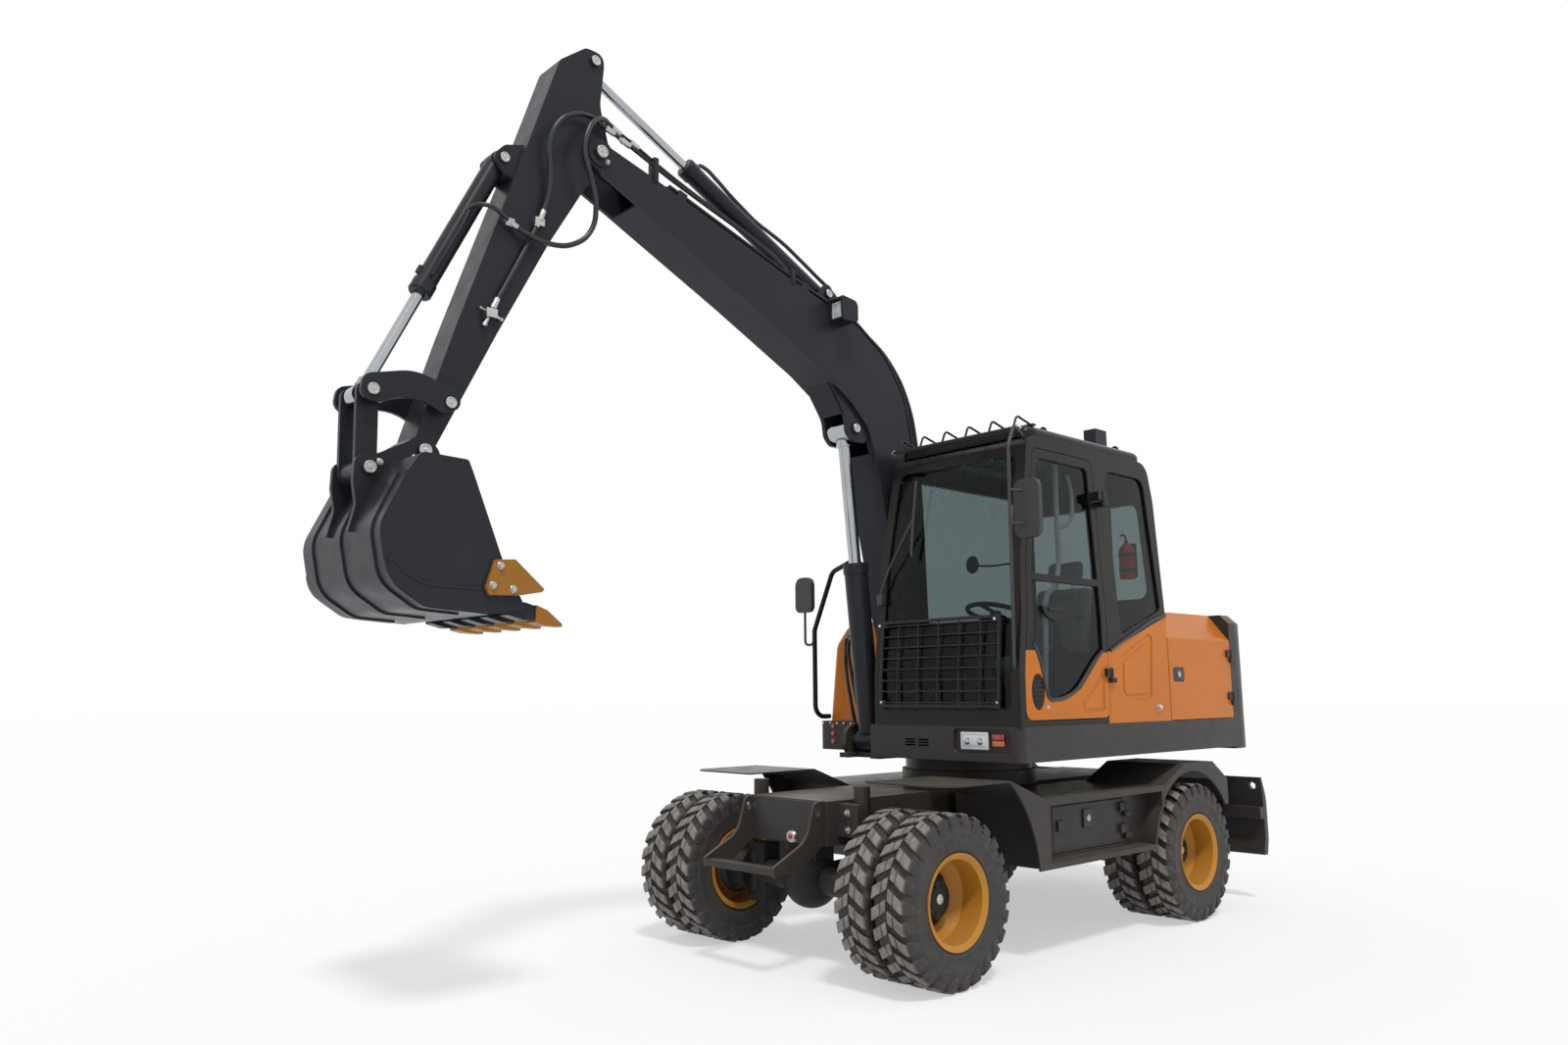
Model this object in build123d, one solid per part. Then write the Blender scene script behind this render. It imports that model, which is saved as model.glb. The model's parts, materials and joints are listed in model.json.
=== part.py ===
import math
import os

from build123d import *

# Driving dimensions in millimetres. X points forward, Y to the left, Z up.
# The swing axis stands at X = 0 while the parts are drawn.
ORIGIN_X = 1000.0

# Wheels
TYRE_R = 431.0
TYRE_W = 226.0
TWIN_IN_Y = 695.0
TWIN_OUT_Y = 945.0
FRONT_X = 1451.0
REAR_X = -1014.0
RIM_R = 222.0
FLANGE_R = 237.0
HUB_R = 148.0
SPINDLE_R = 40.0
RUN = 0.3
KINGPIN_Y = 455.0
TYRE_SIDES = 26
LUGS = 13
LUG_H = 24.0

# Carriage
FRAME_HALF = 320.0
FRAME_TOP = 885.0
FRAME_LOW = 500.0
BOX_X0 = -645.0
BOX_X1 = 645.0
BOX_IN = 400.0
BOX_OUT = 1030.0
BOX_Z0 = 495.0
BOX_Z1 = 872.0
FENDER_Z = 990.0
RING_R = 435.0
TOW_EYE = (1684.0, 832.0)

# Blade
BLADE_PIVOT = (-1230.0, 500.0)
BLADE_HALF = 1030.0
BLADE_PIN = (-1835.0, 560.0)
BLADE_FOOT = (-1640.0, 800.0)

# Upper structure
DECK_Z0 = 1074.0
DECK_Z1 = 1269.0
SIDE_Y = 1031.0
DECK_FRONT = 843.0
RIGHT_FRONT = 365.0
HOUSE_TOP = 1985.0
HOUSE_FRONT = -796.0
HOUSE_REAR = -1655.0
TAIL_X = -2135.0

# Cab
CAB_Y0 = -50.0
CAB_Y1 = 1030.0
CAB_ROOF_Y = 972.0
CAB_REAR = -790.0
CAB_TOP = 2955.0
ROOF_TOP = 3025.0
DOOR_REAR = -72.0
HINGE_Y = 1045.0
PANEL_Z = 1690.0
LOW_HINGE_Z = 1510.0
HIGH_HINGE_Z = 2590.0
WALL = 42.0

# Boom, arm and bucket, X and Z of the pins
BOOM_Y = -250.0
BOOM_HALF = 135.0
ARM_HALF = 104.0
BOOM_FOOT = (280.0, 1500.0)
BOOM_TIP = (2865.0, 4350.0)
LIFT_FOOT = (665.0, 1165.0)
LIFT_PIN = (880.0, 3144.0)
ARM_FOOT = (1085.0, 4005.0)
ARM_TAIL = (2890.0, 4885.0)
BUCKET_PIN = (3788.0, 2580.0)
CURL_FOOT = (3403.0, 4162.0)
ROCKER_PIN = (3680.0, 2819.0)
KNEE_PIN = (4050.0, 2820.0)
LINK_PIN = (4041.0, 2469.0)
BUCKET_HALF = 435.0

STANDING = (Align.CENTER, Align.CENTER, Align.MIN)

nodes = {}


def side(points, y0, y1):
    """A plate drawn in X and Z between two Y values. A third number rounds that corner."""
    flat = [(p[0], p[1]) for p in points]
    radii = [p[2] if len(p) > 2 else 0 for p in points]
    outline = FilletPolyline(*flat, radius=radii, close=True)
    plane = Plane(origin=(0, y0, 0), x_dir=(1, 0, 0), z_dir=(0, -1, 0))
    return extrude(plane * make_face(outline), amount=-(y1 - y0))


def front(points, x0, x1):
    """A plate drawn in Y and Z between two X values."""
    flat = [(p[0], p[1]) for p in points]
    radii = [p[2] if len(p) > 2 else 0 for p in points]
    outline = FilletPolyline(*flat, radius=radii, close=True)
    plane = Plane(origin=(x0, 0, 0), x_dir=(0, 1, 0), z_dir=(1, 0, 0))
    return extrude(plane * make_face(outline), amount=x1 - x0)


def top(points, z0, z1):
    """A plate drawn in X and Y between two Z values."""
    flat = [(p[0], p[1]) for p in points]
    radii = [p[2] if len(p) > 2 else 0 for p in points]
    outline = FilletPolyline(*flat, radius=radii, close=True)
    return extrude(Pos(0, 0, z0) * make_face(outline), amount=z1 - z0)


def block(x0, x1, y0, y1, z0, z1):
    """A plain block between its faces."""
    return Pos((x0 + x1) / 2, (y0 + y1) / 2, (z0 + z1) / 2) * Box(x1 - x0, y1 - y0, z1 - z0)


def bar(start, end, radius):
    """A round bar between two points."""
    a, b = Vector(*start), Vector(*end)
    plane = Plane(origin=a, z_dir=b - a)
    return extrude(plane * Circle(radius), amount=(b - a).length)


def pin(xz, radius, y0, y1):
    """A round bar along Y at an X and Z."""
    return bar((xz[0], y0, xz[1]), (xz[0], y1, xz[1]), radius)


def tube(points, radius, bend):
    """A bent round bar through the points."""
    path = FilletPolyline(*points, radius=bend)
    start = Plane(origin=path @ 0, z_dir=path % 0)
    return sweep(start * Circle(radius), path=path)


def both(shape):
    """The shape and its mirror image across the machine's middle."""
    return Part() + [shape, mirror(shape, about=Plane.XZ)]


def offset_pin(a, b):
    """The frame of a cylinder from its foot pin to its rod pin, with local X along Y."""
    foot = Vector(a[0], a[1], a[2])
    head = Vector(b[0], b[1], b[2])
    return Plane(origin=foot, x_dir=(0, 1, 0), z_dir=head - foot), (head - foot).length


def barrel(foot, head, length, outer, rod, eye, eye_w, pin_r):
    """A hydraulic cylinder's barrel, open at its gland, with the eye at its foot."""
    plane, span = offset_pin(foot, head)
    body = Pos(0, 0, eye * 0.7) * Cylinder(outer, length - eye * 0.7, align=STANDING)
    gland = Pos(0, 0, length - 70) * Cylinder(outer + 6, 60, align=STANDING)
    ear = Rot(0, 90, 0) * Cylinder(eye, eye_w)
    port = Pos(0, outer, length - 110) * Cylinder(16, 40)
    cavity = Pos(0, 0, eye + 25) * Cylinder(outer - 12, length - eye - 85, align=STANDING)
    bore = Pos(0, 0, eye + 30) * Cylinder(rod + 0.5, length, align=STANDING)
    hole = Rot(0, 90, 0) * Cylinder(pin_r + 0.4, eye_w + 10)
    return plane.location * (body + gland + ear + port - cavity - bore - hole)


def piston(foot, head, start, rod, eye, eye_w, hole_r, collared=True):
    """A cylinder's rod from a point inside the barrel to the eye at its head."""
    plane, span = offset_pin(foot, head)
    stem = Pos(0, 0, start) * Cylinder(rod, span - start, align=STANDING)
    ear = Pos(0, 0, span) * Rot(0, 90, 0) * Cylinder(eye, eye_w)
    collar = Pos(0, 0, span - eye - 34) * Cylinder(rod + 12, 40, align=STANDING)
    hole = Pos(0, 0, span) * Rot(0, 90, 0) * Cylinder(hole_r, eye_w + 10)
    if collared:
        stem += collar
    return plane.location * (stem + ear - hole)


def ring_loft(sections):
    """A many-sided ring's body, lofted straight between sections given as Y and radius."""
    faces = []
    for y, radius in sections:
        plane = Plane(origin=(0, y, 0), x_dir=(1, 0, 0), z_dir=(0, 1, 0))
        faces.append(plane * RegularPolygon(radius, TYRE_SIDES))
    return loft(faces, ruled=True)


def tyre():
    """One tyre about the Y axis: a many-sided body with two rows of slanting lugs."""
    half = TYRE_W / 2
    tread = TYRE_R - LUG_H
    body = ring_loft([(-half, 330), (-96, tread), (96, tread), (half, 330)])
    lugs = []
    for way in (-1, 1):
        lug = top([(-44, way * 8), (-4, way * 8), (44, way * 90), (4, way * 90)], TYRE_R - 40, TYRE_R)
        for k in range(LUGS):
            lugs.append(Rot(0, (k + (way + 1) / 4) * 360 / LUGS, 0) * lug)
    body += lugs
    for way in (-1, 1):
        body -= ring_loft([(way * half, 330), (way * 94.9, 228)])
    return body - ring_loft([(-half - 5, 228), (half + 5, 228)])


def rim_profile(points):
    """A turned piece about the Y axis from radius and Y values."""
    return revolve(make_face(Polyline(*points, close=True)), axis=Axis.Y)


def wheel_rim():
    """The twin rims with their disc and hub, drawn for a left wheel about the Y axis."""
    rims = []
    for mid in (TWIN_IN_Y, TWIN_OUT_Y):
        rims.append(rim_profile([
            (FLANGE_R, mid - 108), (FLANGE_R, mid - 97.2), (RIM_R, mid - 95), (RIM_R, mid + 95),
            (FLANGE_R, mid + 97.2), (FLANGE_R, mid + 108), (FLANGE_R - 6, mid + 108), (206, mid + 92),
            (206, mid - 92), (FLANGE_R - 6, mid - 108),
        ]))
    disc = rim_profile([(100, 806), (207, 740), (207, 760), (150, 832), (100, 832)])
    outer_disc = rim_profile([(100, 832), (150, 832), (207, 890), (207, 912), (145, 850), (100, 850)])
    hub = rim_profile([
        (0, 610), (HUB_R - 25, 610), (HUB_R, 640), (HUB_R, 800), (101, 800), (101, 905), (86, 920), (40, 926),
        (0, 926),
    ])
    hub -= bar((0, 600, 0), (0, 706, 0), SPINDLE_R + RUN)
    return Part() + rims + [disc, outer_disc, hub]


def hinge_pins(x, y, leaf_x, leaf_y, levels, way):
    """Fixed halves of a pair of upright hinges: a leaf and a pin at each level."""
    pins = Part()
    for z in levels:
        pins += block(min(x, leaf_x), max(x, leaf_x), leaf_y, y + 6, z, z + 30)
        pins += bar((x, y, z), (x, y, z + 30), 13)
        pins += bar((x, y, z), (x, y, z + 90), 7)
    return pins if way > 0 else mirror(pins, about=Plane.XZ)


def hinge_eyes(x, y, leaf_x, leaf_y, levels):
    """The moving halves of those hinges: a leaf and an eye that turns on the pin."""
    eyes = Part()
    for z in levels:
        eyes += block(min(x, leaf_x), max(x, leaf_x), leaf_y, y + 6, z + 35, z + 85)
        eyes += bar((x, y, z + 35), (x, y, z + 85), 13)
    for z in levels:
        eyes -= bar((x, y, z), (x, y, z + 100), 7 + RUN)
    return eyes


one_tyre = tyre()
one_rim = wheel_rim()


def wheel(name, x, way):
    """The rim and the two tyres of one corner."""
    rim = one_rim
    tyres = [Pos(0, way * y, 0) * one_tyre for y in (TWIN_IN_Y, TWIN_OUT_Y)]
    if way < 0:
        rim = mirror(rim, about=Plane.XZ)
    nodes["rim_" + name] = Pos(x, 0, TYRE_R) * rim
    nodes["tyre_" + name] = Compound(children=[Pos(x, 0, TYRE_R) * t for t in tyres])


# Carriage frame: a pressed box, open below, stepped up over both axles
frame_line = [
    (1640, FRAME_TOP), (1640, 650), (1230, 650), (1080, FRAME_LOW), (-620, FRAME_LOW), (-740, 600),
    (-1560, 600), (-1560, FRAME_TOP),
]
inner_line = [
    (1615, FRAME_TOP - 25), (1615, 640), (1200, 640), (1065, 480), (-600, 480), (-720, 590),
    (-1535, 590), (-1535, FRAME_TOP - 25),
]
frame = side(frame_line, -FRAME_HALF, FRAME_HALF) - side(inner_line, -FRAME_HALF + 20, FRAME_HALF - 20)
for x in (-520, 420):
    frame += both(block(x, x + 120, FRAME_HALF - 5, BOX_IN, 560, 800))
frame += both(block(1500, 1560, FRAME_HALF - 5, FRAME_HALF + 150, 700, 870))
frame += both(bar((1460, FRAME_HALF + 90, 690), (1460, FRAME_HALF + 90, 960), 45))
frame += both(block(1180, 1520, FRAME_HALF - 5, FRAME_HALF + 100, 690, 760))
blade_ear = side([(-1120, 620), (-1150, 455, 30), (-1310, 455, 30), (-1340, 620)], FRAME_HALF - 20, FRAME_HALF)
frame += both(blade_ear)
frame += both(pin(BLADE_PIVOT, 30, FRAME_HALF - 5, FRAME_HALF + 100))
for y in (-230, 230):
    for way in (-1, 1):
        ear_y = y + way * 62
        frame += side([(-1550, 740), (-1690, 755, 30), (-1690, 845, 40), (-1550, 860)], ear_y - 10, ear_y + 10)
    frame += pin(BLADE_FOOT, 22, y - 80, y + 80)
frame += block(FRONT_X - 70, FRONT_X + 70, -FRAME_HALF + 10, FRAME_HALF - 10, 650, 690)
nodes["carriage_frame"] = frame

ring = Pos(0, 0, FRAME_TOP) * Cylinder(RING_R, 88, align=STANDING)
ring -= Pos(0, 0, FRAME_TOP - 5) * Cylinder(RING_R - 110, 120, align=STANDING)
nodes["slewing_ring"] = ring

# Front step: two curved side plates with a flat bar across their feet
step_line = [
    (1640, FRAME_TOP), (1700, FRAME_TOP, 40), (1760, 690, 160), (2000, 575, 20), (2000, 520, 20),
    (1800, 545, 150), (1640, 655),
]
step = both(side(step_line, 270, 290) - pin(TOW_EYE, 22, 260, 300))
step += block(1930, 2000, -272, 272, 532, 566)
step += block(1640, 1658, -272, 272, 655, FRAME_TOP - 5)
nodes["front_step"] = step


def side_box(way):
    """The step box between the wheels with the fenders that lean on it, drawn for the left."""
    arch = pin((REAR_X, TYRE_R), TYRE_R + 59, BOX_IN - 10, BOX_OUT + 10)
    room = block(BOX_X0 + 30, BOX_X1 - 30, BOX_IN + 25, BOX_OUT + 5, BOX_Z0 + 30, BOX_Z1 - 35)
    room -= pin((REAR_X, TYRE_R), TYRE_R + 79, BOX_IN - 10, BOX_OUT + 10)
    box = block(BOX_X0, BOX_X1, BOX_IN, BOX_OUT, BOX_Z0, BOX_Z1) - room
    box += block(BOX_X0 + 30, BOX_X1 - 30, BOX_OUT - 130, BOX_OUT - 110, BOX_Z0 + 25, BOX_Z1 - 30)
    box -= arch
    box -= block(-330, 430, BOX_OUT - 140, BOX_OUT - 100, BOX_Z0 + 50, BOX_Z1 - 60)
    front_plate = side(
        [(BOX_X1 - 2, BOX_Z1), (960, FENDER_Z), (1500, FENDER_Z), (1500, BOX_Z0), (BOX_X1 - 2, BOX_Z0)],
        1018, BOX_OUT)
    front_plate -= pin((FRONT_X, TYRE_R), TYRE_R + 307, 900, 1100)
    rear_plate = side(
        [(BOX_X0 + 2, BOX_Z1 - 15), (-918, FENDER_Z), (-1302, FENDER_Z), (-1495, 865), (-1495, BOX_Z0),
         (BOX_X0 + 2, BOX_Z0)],
        1018, BOX_OUT)
    rear_plate -= pin((REAR_X, TYRE_R), TYRE_R + 79, 900, 1100)
    rear_plate -= block(-1700, REAR_X - 200, 900, 1100, 300, 700)
    front_top = side(
        [(BOX_X1 - 2, BOX_Z1 - 8), (BOX_X1 - 2, BOX_Z1), (957, FENDER_Z), (1500, FENDER_Z),
         (1500, FENDER_Z - 8), (960, FENDER_Z - 8)],
        470, BOX_OUT)
    rounded = [(600, 440), (1520, 440), (1500, 470, 30), (1500, BOX_OUT, 120), (600, BOX_OUT)]
    front_top &= top(rounded, BOX_Z0, FENDER_Z + 20)
    front_plate &= top(rounded, BOX_Z0 - 20, FENDER_Z + 20)
    rear_top = side(
        [(BOX_X0 + 2, BOX_Z1 - 8), (BOX_X0 + 2, BOX_Z1), (-918, FENDER_Z), (-1302, FENDER_Z), (-1495, 868),
         (-1490, 860), (-1300, FENDER_Z - 8), (-920, FENDER_Z - 8)],
        470, BOX_OUT)
    box += hinge_pins(-330, BOX_OUT - 94, -390, BOX_OUT - 112, (570, 700), 1)
    whole = box + front_plate + rear_plate + front_top + rear_top
    return whole if way > 0 else mirror(whole, about=Plane.XZ)


nodes["side_box_left"] = side_box(1)
nodes["side_box_right"] = side_box(-1)


box_door = block(-324, 426, BOX_OUT - 132, BOX_OUT - 108, BOX_Z0 + 54, BOX_Z1 - 64)
box_door += block(330, 390, BOX_OUT - 110, BOX_OUT - 96, 670, 730)
box_door += hinge_eyes(-330, BOX_OUT - 94, -270, BOX_OUT - 112, (570, 700))
nodes["toolbox_door_left"] = box_door
nodes["toolbox_door_right"] = mirror(nodes["toolbox_door_left"], about=Plane.XZ)

# Axles
rear_axle = pin((REAR_X, TYRE_R), 85, -600, 600)
rear_axle += pin((REAR_X, TYRE_R), 128, 520, 604) + pin((REAR_X, TYRE_R), 128, -604, -520)
rear_axle += Pos(REAR_X, 0, TYRE_R) * Sphere(165)
rear_axle += bar((REAR_X, 0, TYRE_R), (REAR_X + 250, 0, TYRE_R + 20), 70)
for y in (-FRAME_HALF + 40, FRAME_HALF - 40):
    rear_axle += block(REAR_X - 80, REAR_X + 80, y - 40, y + 40, TYRE_R + 20, 600)
for way in (-1, 1):
    rear_axle += pin((REAR_X, TYRE_R), SPINDLE_R, min(way * 600, way * 700), max(way * 600, way * 700))
nodes["rear_axle"] = rear_axle

front_axle = pin((FRONT_X, TYRE_R), 78, -395, 395)
front_axle += Pos(FRONT_X, 0, TYRE_R) * Sphere(160)
front_axle += bar((FRONT_X, 0, TYRE_R), (FRONT_X - 250, 0, TYRE_R + 15), 65)
front_axle += block(FRONT_X - 70, FRONT_X + 70, -110, 110, TYRE_R + 100, 650)
fork = block(FRONT_X - 60, FRONT_X + 60, 330, 400, TYRE_R - 165, TYRE_R + 165)
for z in (TYRE_R - 165, TYRE_R + 125):
    fork += block(FRONT_X - 60, FRONT_X + 60, 390, KINGPIN_Y, z, z + 40)
    fork += Pos(FRONT_X, KINGPIN_Y, z) * Cylinder(60, 40, align=STANDING)
fork -= Pos(FRONT_X, KINGPIN_Y, TYRE_R) * Cylinder(26 + RUN, 400)
front_axle += both(fork)
front_axle += pin((FRONT_X - 150, TYRE_R + 20), 36, -200, 200)
front_axle += block(FRONT_X - 160, FRONT_X - 60, -40, 40, TYRE_R - 10, TYRE_R + 50)
nodes["front_axle"] = front_axle


def knuckle():
    """The left steering knuckle between the axle's fork, with the hub carrier and a steering arm."""
    body = Pos(FRONT_X, KINGPIN_Y, TYRE_R - 122) * Cylinder(52, 244, align=STANDING)
    body += pin((FRONT_X, TYRE_R), 118, KINGPIN_Y + 20, 604)
    body += pin((FRONT_X, TYRE_R), SPINDLE_R, 600, 700)
    body += Pos(FRONT_X, KINGPIN_Y, TYRE_R) * Cylinder(26, 322)
    arm = top(
        [(FRONT_X - 175, KINGPIN_Y - 8, 20), (FRONT_X - 175, KINGPIN_Y + 42, 20), (FRONT_X, KINGPIN_Y + 50),
         (FRONT_X, KINGPIN_Y - 8)],
        TYRE_R - 5, TYRE_R + 30)
    return body + arm


nodes["knuckle_left"] = knuckle()
nodes["knuckle_right"] = mirror(knuckle(), about=Plane.XZ)

driveline = block(-250, 250, -180, 180, 430, 640)
driveline += bar((240, 0, 470), (FRONT_X - 250, 0, TYRE_R + 15), 38)
driveline += bar((-240, 0, 470), (REAR_X + 250, 0, TYRE_R + 20), 38)
driveline += block(-150, 150, -300, 300, 560, 640)
nodes["driveline"] = driveline - front_axle - rear_axle

wheel("front_left", FRONT_X, 1)
wheel("front_right", FRONT_X, -1)
wheel("rear_left", REAR_X, 1)
wheel("rear_right", REAR_X, -1)

# Dozer blade behind the carriage
blade = side(
    [(-1990, 845), (-2010, 845), (-2065, 700, 300), (-2065, 420, 200), (-2035, 312), (-1990, 312), (-1985, 330),
     (-2015, 430, 200), (-2015, 690, 300)],
    -BLADE_HALF, BLADE_HALF)
blade += block(-2012, -1960, -BLADE_HALF, BLADE_HALF, 560, 640)
blade_arm = side(
    [(BLADE_PIVOT[0] + 70, BLADE_PIVOT[1], 60), (BLADE_PIVOT[0] + 10, BLADE_PIVOT[1] + 68, 50), (-1900, 660),
     (-2012, 700), (-2012, 400), (-1900, 420), (BLADE_PIVOT[0] + 10, BLADE_PIVOT[1] - 68, 50)],
    FRAME_HALF + 8, FRAME_HALF + 48)
blade_arm -= pin(BLADE_PIVOT, 30.4, FRAME_HALF, FRAME_HALF + 100)
blade += both(blade_arm)
for y in (-230, 230):
    for way in (-1, 1):
        blade += side(
            [(-2010, 470), (-1850, 505, 40), (-1785, 560, 40), (-1840, 620, 40), (-2010, 650)],
            y + way * 46 - 10, y + way * 46 + 10)
        blade += pin(BLADE_PIN, 40, y + way * 56 - 8, y + way * 56 + 8)
for y in (-BLADE_HALF + 65, BLADE_HALF - 65):
    blade -= bar((-2100, y, 785), (-1900, y, 785), 24)
nodes["blade"] = blade

feet = [(BLADE_FOOT[0], y, BLADE_FOOT[1]) for y in (-230, 230)]
heads = [(BLADE_PIN[0], y, BLADE_PIN[1]) for y in (-230, 230)]
nodes["blade_barrels"] = Compound(children=[barrel(f, h, 200, 40, 22, 36, 96, 22) for f, h in zip(feet, heads)])
nodes["blade_rods"] = Compound(children=[piston(f, h, 125, 22, 34, 60, 20, False) for f, h in zip(feet, heads)])

# Upper frame: the dark skirt, the boom's plates and the nose plate
deck = top(
    [(DECK_FRONT, SIDE_Y, 40), (DECK_FRONT, -90), (40, -90), (40, -410), (RIGHT_FRONT, -410),
     (RIGHT_FRONT, -SIDE_Y, 60), (HOUSE_REAR - 5, -SIDE_Y), (HOUSE_REAR - 5, SIDE_Y)],
    DECK_Z0, DECK_Z1)
deck -= top(
    [(DECK_FRONT - 30, SIDE_Y - 30), (DECK_FRONT - 30, -60), (10, -60), (10, -440), (RIGHT_FRONT - 30, -440),
     (RIGHT_FRONT - 30, -SIDE_Y + 30), (HOUSE_REAR + 25, -SIDE_Y + 30), (HOUSE_REAR + 25, SIDE_Y - 30)],
    DECK_Z0 + 25, DECK_Z1 - 20)
deck -= block(-1500, -900, -500, 500, DECK_Z0 - 10, DECK_Z0 + 30)
boom_plate = side(
    [(20, DECK_Z0), (720, DECK_Z0), (760, 1120, 60), (740, 1240, 60), (560, 1290, 80), (400, 1500, 60),
     (330, 1615, 60), (230, 1615, 60), (20, 1330)],
    BOOM_Y + 142, BOOM_Y + 172)
deck += boom_plate
deck += mirror(boom_plate, about=Plane.XZ.offset(-BOOM_Y))
deck += block(20, 780, BOOM_Y - 172, BOOM_Y + 172, DECK_Z0 - 18, DECK_Z0 + 12)
deck -= block(695, 800, BOOM_Y - 95, BOOM_Y + 95, DECK_Z0 - 30, DECK_Z0 + 20)
turntable = Cylinder(RING_R - 25, DECK_Z0 - FRAME_TOP - 86, align=STANDING)
deck += Pos(0, 0, FRAME_TOP + 88.4) * turntable
deck += pin(BOOM_FOOT, 38, BOOM_Y - 185, BOOM_Y + 172)
deck += pin(LIFT_FOOT, 36, BOOM_Y - 172, BOOM_Y + 172)
deck -= front(
    [(555, 1121, 30), (555, 1256, 30), (958, 1256, 30), (958, 1121, 30)], DECK_FRONT - 20, DECK_FRONT + 5)
for y in (190, 292):
    for z in (1150, 1166, 1182):
        deck -= block(DECK_FRONT - 40, DECK_FRONT + 5, y, y + 80, z, z + 9)
nodes["upper_frame"] = deck

tail = top(
    [(HOUSE_REAR - 5, SIDE_Y), (HOUSE_REAR - 5, -SIDE_Y), (-1900, -SIDE_Y, 260), (TAIL_X, -620, 420),
     (TAIL_X, 620, 420), (-1900, SIDE_Y, 260)],
    1060, HOUSE_TOP)
tail_edges = tail.edges().filter_by(
    lambda e: abs(e.center().Z - HOUSE_TOP) < 1 and e.center().X < HOUSE_REAR - 20)
tail = chamfer(tail_edges, 60)
for way in (-1, 1):
    tail += hinge_pins(HOUSE_REAR + 9, SIDE_Y + 7, HOUSE_REAR - 60, SIDE_Y, (1360, 1650), way)
nodes["counterweight"] = tail

nodes["engine"] = block(-1560, -930, -520, 560, 1300, 1800) + block(-1450, -1050, -300, 300, DECK_Z1, 1300)

# Engine housing: fixed frame, doors at both sides and a lid
bulkhead = [
    (-1000, DECK_Z1), (1000, DECK_Z1), (1000, 1785), (876, HOUSE_TOP - 22), (-876, HOUSE_TOP - 22),
    (-1000, 1785)]
doorway = [
    (-850, DECK_Z1 + 60), (850, DECK_Z1 + 60), (850, 1740), (740, HOUSE_TOP - 120), (-740, HOUSE_TOP - 120),
    (-850, 1740)]
hood = front(bulkhead, HOUSE_FRONT - 34, HOUSE_FRONT - 4) - front(doorway, HOUSE_FRONT - 40, HOUSE_FRONT)
hood += front(bulkhead, HOUSE_REAR - 5, HOUSE_REAR + 25) - front(doorway, HOUSE_REAR - 10, HOUSE_REAR + 30)
hood += block(HOUSE_REAR - 5, HOUSE_FRONT - 4, 172, 878, HOUSE_TOP - 22, HOUSE_TOP)
hood += block(HOUSE_REAR - 5, HOUSE_FRONT - 4, 150, 190, HOUSE_TOP - 60, HOUSE_TOP - 22)
hood -= block(-1360, -1150, 230, 370, HOUSE_TOP - 60, HOUSE_TOP + 10)
for y in (-700, -200):
    hood += block(HOUSE_FRONT - 16, HOUSE_FRONT - 4, y + 2, y + 40, HOUSE_TOP - 24, HOUSE_TOP)
    hood += pin((HOUSE_FRONT - 8, HOUSE_TOP), 9, y + 2, y + 40)
    hood += pin((HOUSE_FRONT - 8, HOUSE_TOP), 5, y - 56, y + 40)
nodes["hood"] = hood

door_line = [
    (1006, DECK_Z1 + 4), (SIDE_Y, DECK_Z1 + 4), (SIDE_Y, 1800, 30), (888, HOUSE_TOP), (884, HOUSE_TOP - 20),
    (1006, 1790, 30)]
side_door = front(door_line, HOUSE_REAR, HOUSE_FRONT - 2)
side_door -= side(
    [(-992, 1518, 20), (-992, 1611, 20), (-847, 1611, 20), (-847, 1518, 20)], SIDE_Y - 10, SIDE_Y + 5)
side_door += side(
    [(-980, 1530, 12), (-980, 1599, 12), (-859, 1599, 12), (-859, 1530, 12)], SIDE_Y - 12, SIDE_Y - 2)
side_door += hinge_eyes(HOUSE_REAR + 9, SIDE_Y + 7, HOUSE_REAR + 70, SIDE_Y - 4, (1360, 1650))
for z in (1360, 1650):
    side_door -= bar((HOUSE_REAR + 9, SIDE_Y + 7, z - 2), (HOUSE_REAR + 9, SIDE_Y + 7, z + 35), 16)
    side_door -= bar((HOUSE_REAR + 9, SIDE_Y + 7, z), (HOUSE_REAR + 9, SIDE_Y + 7, z + 92), 7 + RUN)
nodes["side_door_left"] = side_door
nodes["side_door_right"] = mirror(side_door, about=Plane.XZ)

lid = block(HOUSE_REAR, HOUSE_FRONT - 8, -878, 166, HOUSE_TOP - 21.7, HOUSE_TOP)
for k in range(6):
    lid -= block(-1560 + k * 50, -1536 + k * 50, -640, -200, HOUSE_TOP - 30, HOUSE_TOP + 10)
for y in (-700, -200):
    lid -= block(HOUSE_FRONT - 30, HOUSE_FRONT, y - 4, y + 46, HOUSE_TOP - 30, HOUSE_TOP + 10)
    lid += pin((HOUSE_FRONT - 8, HOUSE_TOP), 9, y - 56, y - 4)
for y in (-700, -200):
    lid -= pin((HOUSE_FRONT - 8, HOUSE_TOP), 5 + RUN, y - 60, y + 46)
nodes["hood_lid"] = lid

stack = block(-1330, -1180, 250, 350, HOUSE_TOP - 40, 3380)
stack += block(-1375, -1135, 215, 385, HOUSE_TOP, HOUSE_TOP + 40)
stack -= block(-1318, -1192, 262, 338, 3100, 3400)
nodes["exhaust"] = stack

# Right-hand tank and toolbox with its rounded brow
tank = front(
    [(-450, DECK_Z1), (-450, 1950), (-800, 1950, 150), (-935, 1800, 120), (-1000, DECK_Z1)],
    HOUSE_FRONT + 8, 300)
tank = fillet(tank.edges().filter_by(lambda e: abs(e.center().X - 300) < 1 and e.center().Z > 1700), 60)
nodes["tank"] = tank


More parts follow.
